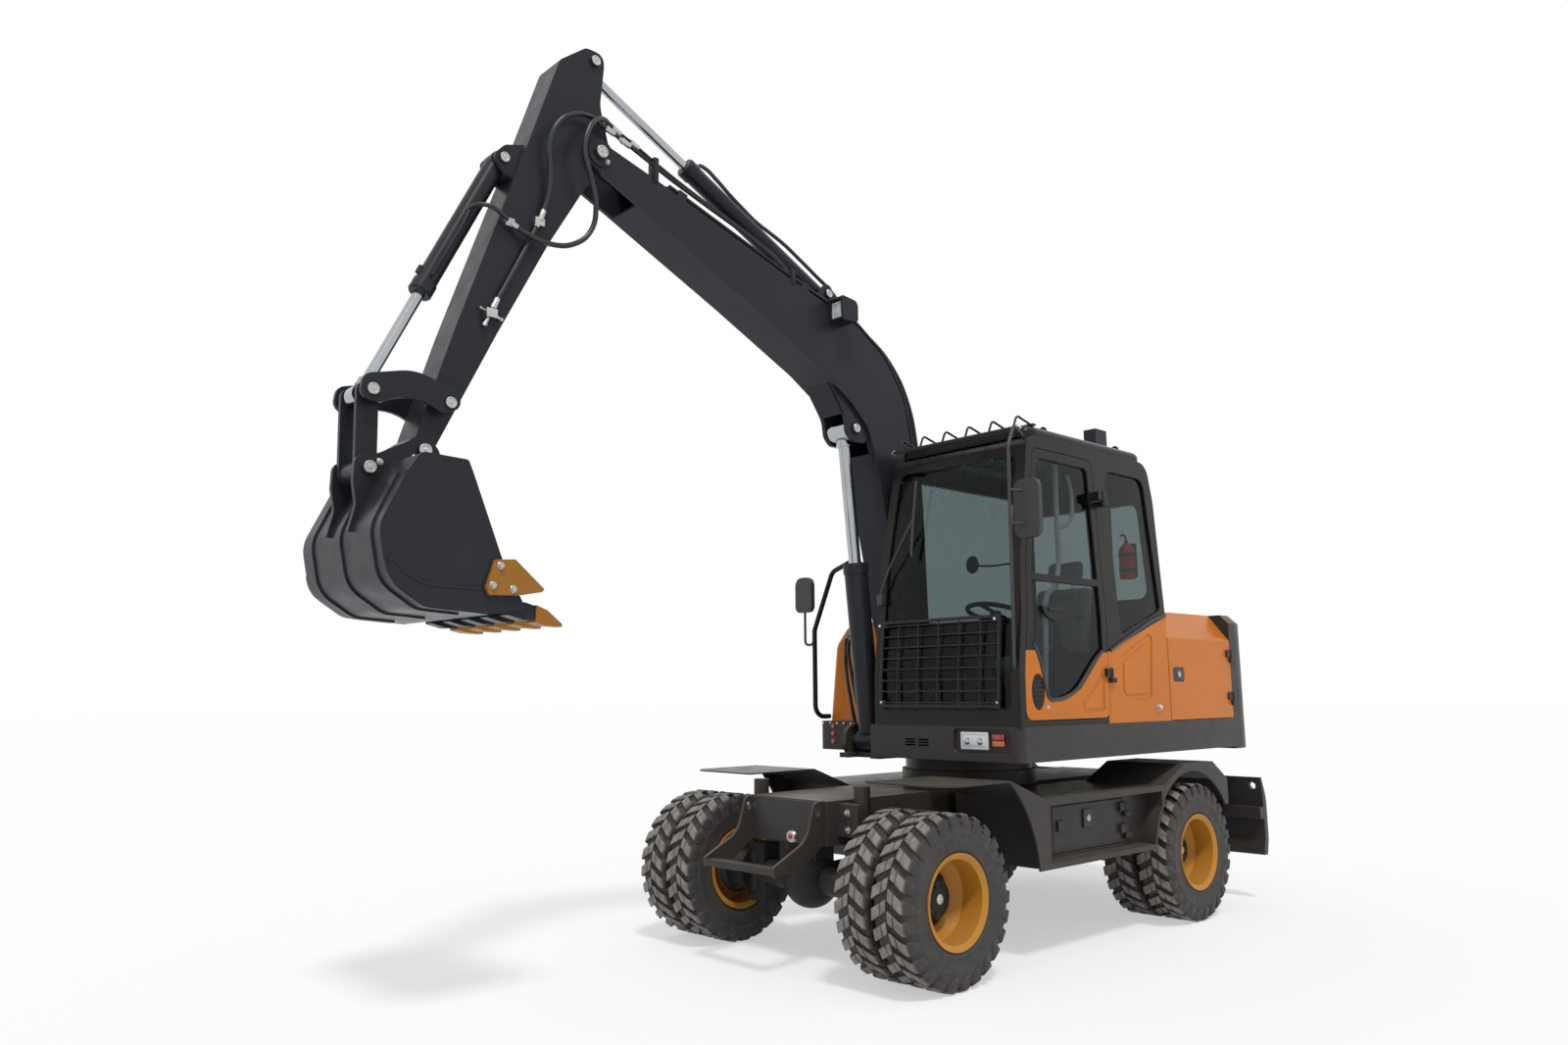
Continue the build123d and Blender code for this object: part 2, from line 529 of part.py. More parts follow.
# Cab: a hollow shell with its openings, split into frame, quarter panel, roof and door
def cab_line(inset):
    """The cab's outline from the side, drawn in by an inset."""
    d = inset
    return [
        (DECK_FRONT - d, DECK_Z1 + d), (DECK_FRONT - 3 - d, 1560, 200), (770 - d, 2200, 500),
        (596 - d, CAB_TOP - d, 90 - d), (CAB_REAR + 40 + d, CAB_TOP - d, 100 - d), (CAB_REAR + d, 2700, 200),
        (CAB_REAR + d, DECK_Z1 + d),
    ]


def cab_solid(d):
    """The cab's full body, drawn in by an inset, with its left side leaning in above the waist."""
    body = side(cab_line(d), CAB_Y0 + d, CAB_Y1 - d)
    lean = [
        (CAB_Y1 - d, 1900), (CAB_Y1 + 80, 1900), (CAB_Y1 + 80, 3100), (CAB_ROOF_Y - d, 3100),
        (CAB_ROOF_Y - d, CAB_TOP)]
    return body - front(lean, -1000, 1000)


def oval(x, z, half_x, half_z, y0, y1):
    """An oval plate between two Y values."""
    plane = Plane(origin=(x, y0, z), x_dir=(1, 0, 0), z_dir=(0, -1, 0))
    return extrude(plane * Ellipse(half_x, half_z), amount=-(y1 - y0))


cab_body = cab_solid(0)
shell = cab_body - cab_solid(WALL)
pane = cab_solid(14) - cab_solid(22)

door_opening = [
    (DOOR_REAR, DECK_Z1 + 30, 60), (DOOR_REAR, CAB_TOP - 70, 60), (555, CAB_TOP - 70, 60), (722, 2200, 400),
    (790, 1560, 200), (793, DECK_Z1 + 30, 60)]
door_shape = [
    (DOOR_REAR + 5, DECK_Z1 + 35, 55), (DOOR_REAR + 5, CAB_TOP - 75, 55), (552, CAB_TOP - 75, 55),
    (717, 2200, 400), (785, 1560, 200), (788, DECK_Z1 + 35, 55)]
door_window = [
    (DOOR_REAR + 58, PANEL_Z, 20), (DOOR_REAR + 58, CAB_TOP - 130, 40), (520, CAB_TOP - 130, 40),
    (665, 2200, 400), (700, 1720, 40), (640, 1630, 120), (570, 1400, 60), (400, 1415, 150), (240, 1475, 120),
    (50, 1640, 60)]
rear_window = [
    (DOOR_REAR - 150, 1795, 30), (DOOR_REAR - 150, CAB_TOP - 115, 60), (CAB_REAR + 105, CAB_TOP - 115, 80),
    (CAB_REAR + 55, 1975, 40)]
door = shell & side(door_shape, CAB_ROOF_Y - WALL - 20, CAB_Y1 + 10)
shell -= side(door_opening, CAB_ROOF_Y - WALL - 25, CAB_Y1 + 10)
right_window = [
    (600, 1700, 60), (520, CAB_TOP - 130, 60), (CAB_REAR + 110, CAB_TOP - 130, 60), (CAB_REAR + 80, 1700, 60)]
screen = [
    (CAB_Y0 + 60, 1360, 40), (CAB_Y1 - 60, 1360, 40), (CAB_Y1 - 60, 1900), (CAB_ROOF_Y - 65, CAB_TOP - 110, 60),
    (CAB_Y0 + 60, CAB_TOP - 110, 60)]
back_light = [
    (CAB_Y0 + 90, 2060, 60), (CAB_ROOF_Y - 40, 2060, 60), (CAB_ROOF_Y - 90, CAB_TOP - 260, 60),
    (CAB_Y0 + 90, CAB_TOP - 260, 60)]
openings = [
    side(rear_window, CAB_ROOF_Y - WALL - 25, CAB_Y1 + 10),
    side(right_window, CAB_Y0 - 10, CAB_Y0 + WALL + 10),
    front(screen, 480, 1000),
    front(back_light, -1000, -740),
]
for opening in openings:
    shell -= opening
hinge_x = DOOR_REAR - 4
quarter_line = [
    (DOOR_REAR + 20, DECK_Z1 - 5), (DOOR_REAR + 20, PANEL_Z), (CAB_REAR - 10, PANEL_Z + 250),
    (CAB_REAR - 10, DECK_Z1 - 5)]
quarter_prism = side(quarter_line, CAB_Y1 - WALL, CAB_Y1 + 10)
quarter = shell & quarter_prism
quarter -= side(
    [(-220, 1674, 30), (-552, 1816, 40), (-606, 1799, 30), (-562, 1409, 30), (-215, 1401, 30)],
    CAB_Y1 - 6, CAB_Y1 + 5)
quarter += side(
    [(-250, 1636, 30), (-530, 1760, 8), (-545, 1745, 8), (-520, 1445, 30), (-246, 1438, 30)],
    CAB_Y1 - 8, CAB_Y1 - 1)
quarter += hinge_pins(hinge_x, HINGE_Y, hinge_x - 50, CAB_Y1 - 20, (LOW_HINGE_Z,), 1)
nodes["quarter_panel"] = quarter
shell -= quarter_prism
shell += hinge_pins(hinge_x, HINGE_Y, hinge_x - 50, CAB_ROOF_Y, (HIGH_HINGE_Z,), 1)
nodes["cab_frame"] = shell

nodes["cab_glass"] = Compound(children=[pane & opening for opening in openings])

window_prism = side(door_window, CAB_ROOF_Y - WALL - 30, CAB_Y1 + 10)
nodes["door_glass"] = pane & window_prism
rail_prism = block(DOOR_REAR, 800, CAB_ROOF_Y - 60, CAB_Y1 + 10, 2090, 2130)
nodes["door_glass"] -= rail_prism
door -= window_prism - rail_prism
lower = block(DOOR_REAR - 20, 820, CAB_Y1 - 90, CAB_Y1 + 10, DECK_Z1, PANEL_Z)
panel = door & lower
door -= lower
panel -= side(
    [(240, 1394, 20), (15, 1560, 20), (-19, 1548, 10), (-8, 1339, 20), (237, 1338, 20)], CAB_Y1 - 6, CAB_Y1 + 5)
panel += side(
    [(205, 1386, 15), (22, 1520, 5), (12, 1510, 4), (20, 1360, 15), (203, 1359, 12)], CAB_Y1 - 8, CAB_Y1 - 1)
panel -= oval(668, 1460, 64, 102, CAB_Y1 - 12, CAB_Y1 + 5)
speaker = oval(668, 1460, 58, 96, CAB_Y1 - 12, CAB_Y1 - 2)
for k in range(7):
    speaker -= block(600, 740, CAB_Y1 - 7, CAB_Y1, 1385 + k * 24, 1393 + k * 24)
fixed_side = cab_body + block(hinge_x - 20, DOOR_REAR + 2, CAB_ROOF_Y - 60, CAB_Y1 + 1, DECK_Z1, CAB_TOP)
panel += hinge_eyes(hinge_x, HINGE_Y, hinge_x + 56, CAB_Y1 - 20, (LOW_HINGE_Z,)) - fixed_side
nodes["door_panel"] = panel
door += hinge_eyes(hinge_x, HINGE_Y, hinge_x + 56, CAB_ROOF_Y, (HIGH_HINGE_Z,)) - fixed_side
bowl = oval(471, 1944, 126, 79, CAB_Y1 - 30, CAB_Y1 + 3) & block(300, 640, 900, CAB_Y1 + 10, 1850, 1944)
bowl += bar((400, CAB_Y1 + 4, 1926), (540, CAB_Y1 + 4, 1926), 8)
bowl -= cab_solid(13.8)
nodes["cab_door"] = Compound(children=[door, speaker, bowl])

roof = top(
    [(CAB_REAR + 60, CAB_Y0 + 6, 90), (576, CAB_Y0 + 6, 90), (576, CAB_ROOF_Y - 6, 90),
     (CAB_REAR + 60, CAB_ROOF_Y - 6, 90)],
    CAB_TOP, ROOF_TOP)
roof = fillet(roof.edges().filter_by(lambda e: e.center().Z > ROOF_TOP - 1), 45)
for x in (-520, 300):
    eye = front(
        [(870, ROOF_TOP - 8), (870, ROOF_TOP + 30, 18), (914, ROOF_TOP + 30, 18), (914, ROOF_TOP - 8)],
        x, x + 14)
    roof += eye - bar((x - 5, 892, ROOF_TOP + 10), (x + 20, 892, ROOF_TOP + 10), 9)
nodes["cab_roof"] = roof

# Rack over the windscreen: a front tube carried on bent rods from the roof
rack = bar((668, 6, CAB_TOP + 32), (668, 966, CAB_TOP + 32), 11)
rack += block(470, 500, 20, 952, ROOF_TOP, ROOF_TOP + 14)
for k in range(6):
    y = 40 + k * 178
    rack += tube([(668, y, CAB_TOP + 32), (630, y, ROOF_TOP + 44), (486, y, ROOF_TOP + 8)], 7, 30)
rack -= roof

seat = block(-400, 120, 250, 730, 1560, 1680)
seat += side([(-400, 1600), (-300, 1600), (-420, 2330, 40), (-520, 2330, 40), (-480, 1600)], 250, 730)
seat += block(-350, 60, 320, 660, DECK_Z1 + WALL, 1560)
nodes["seat"] = seat
console = block(330, 480, 380, 600, DECK_Z1 + WALL, 1560)
console += bar((420, 490, 1540), (303, 490, 1952), 34)
wheel_plane = Plane(origin=(305, 490, 1945), z_dir=(-0.27, 0, 0.96))
console += wheel_plane.location * Torus(175, 15)
console += wheel_plane.location * Box(350, 26, 14)
for y in (130, 800):
    console += block(-250, 160, y - 50, y + 50, DECK_Z1 + WALL, 1700)
    console += bar((110, y, 1690), (130, y, 1830), 18)
nodes["console"] = console

# Mesh guard over the lower windscreen
guard_plane = Plane(origin=(DECK_FRONT + 4, 0, 1372), x_dir=(0, 1, 0), z_dir=(0.9973, 0, 0.0737))
guard = Pos(450, 262, 6) * (Box(900, 524, 14) - Box(864, 488, 30))
for k in range(8):
    guard += Pos(450, 30 + k * 66, 6) * Box(890, 8, 8)
for k in range(5):
    guard += Pos(140 + k * 155, 262, 6) * Box(7, 510, 7)
for u in (20, 880):
    for v in (30, 500):
        guard += Pos(u, v, -10) * Box(36, 30, 36)
nodes["guards"] = Compound(children=[guard_plane.location * guard - cab_body, rack])

# Mirrors, handrail and lamps
rail = tube(
    [(300, -985, 1300), (440, -985, 1300), (440, -985, 1900), (440, -800, 2300), (440, -520, 2390),
     (300, -520, 1900)],
    17, 80)
nodes["handrail"] = rail - tank - deck

right_mirror = front([(-1150, 2030, 45), (-1150, 2280, 60), (-985, 2280, 60), (-985, 2030, 45)], 435, 469)
right_mirror += tube([(452, -985, 1905), (452, -985, 1800), (452, -1068, 1800), (452, -1068, 2040)], 9, 30)
left_mirror = front([(985, 2318, 50), (985, 2655, 60), (1155, 2655, 60), (1155, 2318, 50)], 738, 770)
left_mirror += tube(
    [(540, 930, 2930), (740, 985, 2985), (824, 1000, 2850), (843, 1000, 1571), (780, 990, 1571)], 10, 40)
for z in (2400, 2590):
    left_mirror += bar((760, 1045, z), (831, 1000, z), 9)
nodes["mirrors"] = Compound(children=[right_mirror - rail, left_mirror - cab_body - roof - rack])

lamps = [
    front(
        [(604, 1137, 25), (604, 1240, 25), (800, 1240, 25), (800, 1137, 25)],
        DECK_FRONT - 20, DECK_FRONT - 2),
    front(
        [(824, 1156, 20), (824, 1229, 20), (907, 1229, 20), (907, 1156, 20)],
        DECK_FRONT - 20, DECK_FRONT - 4),
]
for z in (1131, 1183, 1233):
    lamps.append(bar((RIGHT_FRONT, -885, z), (RIGHT_FRONT + 9, -885, z), 17))
nodes["lamps"] = Compound(children=lamps)

# Boom: a hollow box section with a gooseneck, forked at its tip
boom_line = [
    (205, 1410, 70), (185, 1540), (350, 3050, 400), (432, 3420, 300), (610, 3660, 300), (880, 3830, 300),
    (1500, 4008, 900), (2430, 4300), (2830, 4412, 20), (2930, 4400, 40), (2950, 4285, 40), (2640, 4146),
    (1835, 3778), (1218, 3480, 600), (930, 3300, 300), (780, 3160, 200), (720, 3000, 300), (375, 1500),
    (350, 1410, 70)]
hollow_line = [
    (222, 1640), (366, 3048, 390), (446, 3412, 290), (620, 3648, 290), (884, 3814, 290), (1500, 3992, 890),
    (2432, 4285), (2700, 4360), (2800, 4240), (2634, 4160), (1829, 3792), (1210, 3494, 610), (918, 3312, 310),
    (764, 3168, 210), (704, 3004, 310), (392, 1640)]


def across(shape_line, half):
    """A piece of the boom's line, cut to a width about the boom's own middle plane."""
    return side(shape_line, BOOM_Y - half, BOOM_Y + half)


def cheeks(shape_line, inner, outer):
    """Two plates at equal distances from the boom's middle plane."""
    near = side(shape_line, BOOM_Y + inner, BOOM_Y + outer)
    far = side(shape_line, BOOM_Y - outer, BOOM_Y - inner)
    return Part() + [near, far]


def boss(xz, radius, inner, outer):
    """Two round bosses at equal distances from the boom's middle plane."""
    near = pin(xz, radius, BOOM_Y + inner, BOOM_Y + outer)
    far = pin(xz, radius, BOOM_Y - outer, BOOM_Y - inner)
    return Part() + [near, far]


boom_body = across(boom_line, BOOM_HALF)
boom = boom_body - across(hollow_line, BOOM_HALF - 14)
bracket = [
    (758, 3200), (764, 3095, 40), (800, 3058, 40), (900, 3058, 60), (950, 3110, 60), (968, 3220, 120),
    (1112, 3425), (1090, 3470), (900, 3320)]
boom -= across([(690, 3010), (800, 2990), (1000, 3280), (930, 3350), (740, 3200)], 82)
boom += cheeks(bracket, 84, 112)
boom += across([(972, 3232), (984, 3228), (1118, 3421), (1102, 3432)], 96)
boom -= across([(2560, 4600), (2620, 4050), (3100, 4100), (3100, 4600)], ARM_HALF + 6)
boom += boss(BOOM_TIP, 78, ARM_HALF + 6, BOOM_HALF + 10)
boom += pin(BOOM_TIP, 42, BOOM_Y - BOOM_HALF - 22, BOOM_Y + BOOM_HALF + 22)
boom += boss(LIFT_PIN, 36, 84, 124)
boom += cheeks([(990, 3840), (1010, 3990, 40), (1080, 4085, 40), (1160, 4020, 40), (1200, 3900)], 64, 86)
boom += pin(ARM_FOOT, 30, BOOM_Y - 96, BOOM_Y + 96)
boom -= pin(BOOM_FOOT, 38.4, BOOM_Y - 200, BOOM_Y + 200)
nodes["boom"] = boom

lamp_y = BOOM_Y + BOOM_HALF
lamp_box = side([(985, 3792, 25), (985, 3930, 40), (1135, 3945, 15), (1125, 3785, 15)], lamp_y, lamp_y + 120)
lamp_box -= block(1112, 1150, lamp_y + 12, lamp_y + 108, 3804, 3920)
nodes["boom_lamp"] = lamp_box

# Pipes along the boom's back, held in clamps
pipe_line = [(242, 2300), (324, 3054), (408, 3431), (592, 3679), (869, 3854), (1492, 4033), (2392, 4315)]
pipes = Part()
for y in (100, 123):
    pipes += tube([(x, BOOM_Y + y, z) for x, z in pipe_line], 10, 330)
for x, z, dx, dz in ((282, 2668, 0.109, 0.994), (1330, 3984, 0.961, 0.276), (2300, 4286, 0.954, 0.299)):
    clamp = [
        (x - 30 * dx - 17 * dz, z - 30 * dz + 17 * dx), (x + 30 * dx - 17 * dz, z + 30 * dz + 17 * dx),
        (x + 30 * dx + 40 * dz, z + 30 * dz - 40 * dx), (x - 30 * dx + 40 * dz, z - 30 * dz - 40 * dx)]
    pipes += side(clamp, BOOM_Y + 88, BOOM_Y + BOOM_HALF)
nodes["boom_pipes"] = pipes - boom_body

# Arm: a tapered hollow box, forked at its tail
arm_line = [
    (2832, 4945, 50), (2945, 4945, 60), (3105, 4812, 40), (3331, 4127), (3645, 3200), (3800, 2700),
    (3830, 2600), (3745, 2560), (3420, 3230), (3145, 3770), (2935, 4136, 80), (2788, 4290, 60), (2788, 4420, 60),
    (2850, 4640, 200), (2828, 4870, 50)]
arm_hollow = [
    (2870, 4760), (3085, 4790), (3313, 4120), (3627, 3194), (3700, 2960), (3560, 2960), (3434, 3237),
    (3160, 3775), (2960, 4150), (2930, 4500)]
arm = across(arm_line, ARM_HALF) - across(arm_hollow, ARM_HALF - 12)
arm -= across([(2700, 4640), (3050, 4700), (2990, 5050), (2700, 5050)], 62)
arm += pin(BUCKET_PIN, 74, BOOM_Y - ARM_HALF, BOOM_Y + ARM_HALF)
arm -= pin(BOOM_TIP, 42.4, BOOM_Y - 150, BOOM_Y + 150)
arm -= pin(BUCKET_PIN, 35.4, BOOM_Y - 150, BOOM_Y + 150)
arm += boss(ARM_TAIL, 30, 58, ARM_HALF + 14)
arm += pin(ROCKER_PIN, 30, BOOM_Y - 168, BOOM_Y + 168)
arm += cheeks([(3290, 4270), (3400, 4235, 40), (3462, 4165, 40), (3410, 4090, 40), (3320, 4060)], 60, 82)
arm += pin(CURL_FOOT, 28, BOOM_Y - 92, BOOM_Y + 92)
nodes["arm"] = arm

# Bucket with its ears, then the teeth and side cutters
bucket_line = [
    (3715, 2500, 20), (3935, 2508, 40), (3995, 2415), (4110, 2170, 160), (4065, 1945, 160), (3900, 1838, 120),
    (3595, 1818), (3410, 1850), (3535, 2065), (3680, 2420, 80)]
bucket_room = [
    (3560, 2482), (3925, 2490, 30), (3978, 2407), (4090, 2171, 145), (4049, 1957, 145), (3893, 1857, 105),
    (3597, 1837), (3350, 1880), (3250, 1900)]
bucket = across(bucket_line, BUCKET_HALF) - across(bucket_room, BUCKET_HALF - 20)
ear_line = [
    (3700, 2495), (3712, 2590, 60), (3788, 2662, 60), (3870, 2610, 40), (4000, 2540, 40), (4105, 2520, 50),
    (4108, 2400, 60), (4090, 2300, 60), (4118, 2180), (4098, 2172), (3986, 2412), (3925, 2499)]
bucket += cheeks(ear_line, ARM_HALF + 6, ARM_HALF + 32)
band_line = [
    (3988, 2420), (4004, 2420), (4119, 2171, 168), (4072, 1938, 168), (3902, 1829, 128), (3700, 1815),
    (3700, 1828), (3897, 1847, 112), (4057, 1951, 152), (4100, 2171, 152)]
for y in (-330, 0, 330):
    bucket += side(band_line, BOOM_Y + y - 28, BOOM_Y + y + 28)
skirt_line = [
    (4110, 2028), (4032, 2023, 20), (4006, 1986, 20), (3904, 1936, 60), (3640, 1928), (3600, 1822),
    (3900, 1841, 118), (4062, 1948, 155)]
bucket += cheeks(skirt_line, BUCKET_HALF - 5, BUCKET_HALF + 8) & across(bucket_line, BUCKET_HALF + 20)
bucket += pin(BUCKET_PIN, 35, BOOM_Y - 150, BOOM_Y + 150)
bucket += boss(LINK_PIN, 32, ARM_HALF + 2, ARM_HALF + 46)
teeth = []
for k in range(5):
    y = BOOM_Y + (k - 2) * 190
    bucket += side(
        [(3490, 1822), (3490, 1858), (3410, 1884, 20), (3335, 1864), (3325, 1804), (3410, 1802)],
        y - 36, y + 36)
for k in range(5):
    y = BOOM_Y + (k - 2) * 190
    point = side(
        [(3352, 1794), (3352, 1872), (3290, 1852), (3205, 1792), (3205, 1778), (3300, 1782)], y - 46, y + 46)
    point &= top([(3360, y - 46), (3360, y + 46), (3200, y + 28), (3200, y - 28)], 1700, 1900)
    teeth.append(point - bucket)
for way in (-1, 1):
    y = BOOM_Y + way * BUCKET_HALF
    cutter = side(
        [(3622, 1935, 8), (3581, 2063, 8), (3483, 2070, 8), (3330, 1943, 5), (3345, 1929, 5), (3459, 1908, 8),
         (3606, 1903, 8)],
        min(y, y + way * 22), max(y, y + way * 22))
    teeth.append(cutter - bucket)
nodes["bucket"] = bucket
nodes["bucket_teeth"] = Compound(children=teeth)

rocker_line = [
    (3622, 2800, 50), (3640, 2880, 50), (3860, 2945, 250), (4095, 2885, 50), (4110, 2770, 50), (4010, 2765, 50),
    (3860, 2850, 250), (3720, 2760, 40)]
rocker = cheeks(rocker_line, 141, 163)
rocker -= pin(ROCKER_PIN, 30.4, BOOM_Y - 170, BOOM_Y + 170)
rocker += boss(KNEE_PIN, 30, 60, 168)
nodes["rocker"] = Compound(children=list(rocker.solids()))

link = cheeks([(4000, 2870, 48), (4100, 2870, 48), (4091, 2419, 48), (3991, 2419, 48)], 78, 103)
link += pin(LINK_PIN, 46, BOOM_Y - 103, BOOM_Y + 103)
link -= pin(LINK_PIN, 33, BOOM_Y - 110, BOOM_Y + 110)
link -= pin(KNEE_PIN, 30.4, BOOM_Y - 110, BOOM_Y + 110)
nodes["link"] = link


def ram(name, foot, head, length, start, outer, rod, foot_eye, head_eye, eye_w, pin_r):
    """A cylinder in the boom's plane as a barrel and a rod."""
    a = (foot[0], BOOM_Y, foot[1])
    b = (head[0], BOOM_Y, head[1])
    nodes[name + "_barrel"] = barrel(a, b, length, outer, rod, foot_eye, eye_w, pin_r)
    nodes[name + "_rod"] = piston(a, b, start, rod, head_eye, eye_w, pin_r * 0.9)


ram("lift", LIFT_FOOT, LIFT_PIN, 1130, 840, 75, 40, 70, 68, 150, 36)
ram("crowd", ARM_FOOT, ARM_TAIL, 1230, 660, 56, 28, 54, 54, 96, 30)
ram("curl", CURL_FOOT, KNEE_PIN, 880, 560, 52, 28, 50, 48, 88, 28)

PARTS = "parts"
os.makedirs(PARTS, exist_ok=True)
for name, shape in nodes.items():
    placed = Pos(-ORIGIN_X, 0, 0) * shape
    export_step(placed, os.path.join(PARTS, name + ".step"))
print(len(nodes), "parts written")
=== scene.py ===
# %% [markdown]
# A wheeled excavator stands on a pale floor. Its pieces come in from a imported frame, in metres, with +X
# towards the bucket and +Y to the machine's left. This lesson dresses that frame: it gives each surface
# its finish and adds the small things that make a machine look used and real.

# %% Load the frame
import json
import math

import bpy
from mathutils import Matrix, Vector


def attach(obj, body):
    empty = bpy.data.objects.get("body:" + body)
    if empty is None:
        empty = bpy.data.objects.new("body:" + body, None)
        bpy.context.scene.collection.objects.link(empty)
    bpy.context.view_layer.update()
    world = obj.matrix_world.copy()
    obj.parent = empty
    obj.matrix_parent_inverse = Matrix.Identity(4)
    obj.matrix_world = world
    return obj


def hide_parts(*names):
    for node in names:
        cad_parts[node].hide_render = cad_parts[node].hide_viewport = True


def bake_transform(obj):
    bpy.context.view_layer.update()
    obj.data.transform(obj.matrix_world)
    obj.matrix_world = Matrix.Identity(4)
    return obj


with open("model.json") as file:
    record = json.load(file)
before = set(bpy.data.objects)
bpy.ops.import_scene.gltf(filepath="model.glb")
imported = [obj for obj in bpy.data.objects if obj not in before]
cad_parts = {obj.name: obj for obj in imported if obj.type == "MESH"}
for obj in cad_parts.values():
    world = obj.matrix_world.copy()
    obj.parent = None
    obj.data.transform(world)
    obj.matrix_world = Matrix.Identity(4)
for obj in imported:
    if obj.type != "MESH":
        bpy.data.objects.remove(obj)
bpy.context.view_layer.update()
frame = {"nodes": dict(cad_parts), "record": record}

# %% [markdown]
# The camera comes first, because everything is judged through it. The picture was taken from the front
# left, from about eye height, tilted up a little so that the boom fits. The place and the aim were worked
# out from the wheels, the side box and the housing's edges, so the camera is built from a place, a
# heading, a tilt and a small roll.

# %% Camera
EYE = Vector((4.996, 4.696, 1.467))
HEADING = math.radians(227.155)
TILT = math.radians(8.652)
ROLL = math.radians(-0.466)
LENS = 25.66
SENSOR = 36.0
FAR_LIMIT = 400


def aim_matrix(eye, heading, tilt, roll):
    """The camera's place and turn from a compass heading, a tilt up and a roll."""
    ahead = Vector((
        math.cos(heading) * math.cos(tilt),
        math.sin(heading) * math.cos(tilt),
        math.sin(tilt),
    ))
    right = ahead.cross(Vector((0, 0, 1))).normalized()
    up = right.cross(ahead)
    turned_right = right * math.cos(roll) + up * math.sin(roll)
    turned_up = up * math.cos(roll) - right * math.sin(roll)
    turn = Matrix((turned_right, turned_up, -ahead)).transposed()
    return Matrix.Translation(eye) @ turn.to_4x4()


bpy.ops.object.select_all(action="DESELECT")
bpy.ops.object.camera_add()
camera = bpy.context.object
camera.name = "photo_camera"
camera.data.lens = LENS
camera.data.sensor_width = SENSOR
camera.data.clip_end = FAR_LIMIT
camera.matrix_world = aim_matrix(EYE, HEADING, TILT, ROLL)
bpy.context.scene.camera = camera
print("camera at", tuple(round(v, 3) for v in EYE), "lens", LENS)

# %% [markdown]
# A studio needs a floor, a sky and a lamp. The machine stands in open light: a sun lamp lights the floor
# evenly to its far edge, and a pale sky fills the shadows. The floor is mixed with plain white for the
# camera, for mirrors and for glass, so that no horizon shows while the shadow under the machine stays.

# %% Floor, sky and sun
FLOOR_HALF = 120.0
FLOOR_TONE = (0.94, 0.94, 0.94, 1)
SKY_TONE = (0.93, 0.96, 1.0, 1)
SKY_LEVEL = 0.62
SUN_LEVEL = 1.7
SUN_TONE = (1.0, 0.97, 0.92)
SUN_WAY = (-0.28, -0.50, -1.0)
SUN_SPREAD = math.radians(9)
WHITE = (1, 1, 1, 1)
FLOOR_GLOW = 0.5


def new_material(name):
    """A material with its node tree ready, and the shader that it ends in."""
    material = bpy.data.materials.new(name)
    material.use_nodes = True
    return material, material.node_tree, material.node_tree.nodes["Principled BSDF"]


def join(tree, out_socket, in_socket):
    """A wire between two sockets."""
    tree.links.new(out_socket, in_socket)


def seen_rays(tree):
    """One for rays from the camera, from mirrors and through glass, and zero for the rest."""
    rays = tree.nodes.new("ShaderNodeLightPath")
    value = rays.outputs["Is Camera Ray"]
    for kind in ("Is Glossy Ray", "Is Transmission Ray"):
        either = tree.nodes.new("ShaderNodeMath")
        either.operation = "MAXIMUM"
        join(tree, value, either.inputs[0])
        join(tree, rays.outputs[kind], either.inputs[1])
        value = either.outputs[0]
    return value


floor_paint, tree, shader = new_material("floor_paint")
shader.inputs["Base Color"].default_value = FLOOR_TONE
shader.inputs["Roughness"].default_value = 0.9
shader.inputs["Specular IOR Level"].default_value = 0.0
glow = tree.nodes.new("ShaderNodeEmission")
glow.inputs["Color"].default_value = WHITE
share = tree.nodes.new("ShaderNodeMath")
share.operation = "MULTIPLY"
share.inputs[1].default_value = FLOOR_GLOW
join(tree, seen_rays(tree), share.inputs[0])
mix = tree.nodes.new("ShaderNodeMixShader")
join(tree, share.outputs[0], mix.inputs["Fac"])
join(tree, shader.outputs[0], mix.inputs[1])
join(tree, glow.outputs[0], mix.inputs[2])
join(tree, mix.outputs[0], tree.nodes["Material Output"].inputs["Surface"])

bpy.ops.object.select_all(action="DESELECT")
bpy.ops.mesh.primitive_plane_add(size=2 * FLOOR_HALF)
floor = bpy.context.object
floor.name = "studio_floor"
floor.data.materials.append(floor_paint)

world = bpy.data.worlds.new("studio_sky")
bpy.context.scene.world = world
world.use_nodes = True
tree = world.node_tree
sky = tree.nodes["Background"]
sky.inputs["Color"].default_value = SKY_TONE
sky.inputs["Strength"].default_value = SKY_LEVEL
white = tree.nodes.new("ShaderNodeBackground")
white.inputs["Color"].default_value = WHITE
mix = tree.nodes.new("ShaderNodeMixShader")
join(tree, seen_rays(tree), mix.inputs["Fac"])
join(tree, sky.outputs[0], mix.inputs[1])
join(tree, white.outputs[0], mix.inputs[2])
join(tree, mix.outputs[0], tree.nodes["World Output"].inputs["Surface"])

bpy.ops.object.light_add(type="SUN", location=(2, 6, 10))
sun = bpy.context.object
sun.name = "high_sun"
sun.data.energy = SUN_LEVEL
sun.data.angle = SUN_SPREAD
sun.data.color = SUN_TONE
sun.rotation_euler = Vector(SUN_WAY).to_track_quat("-Z", "Y").to_euler()
bpy.context.scene.view_settings.view_transform = "Standard"
print("floor, sky and sun")

# %% [markdown]
# Painted steel is most of this machine. Real paint is never one flat colour: it varies a little from
# panel to panel, gathers pale dust where faces look up, wears lighter along edges, and has a faint
# orange-peel ripple. One function makes every paint from its colour and its gloss, so that all of them
# age in the same way.

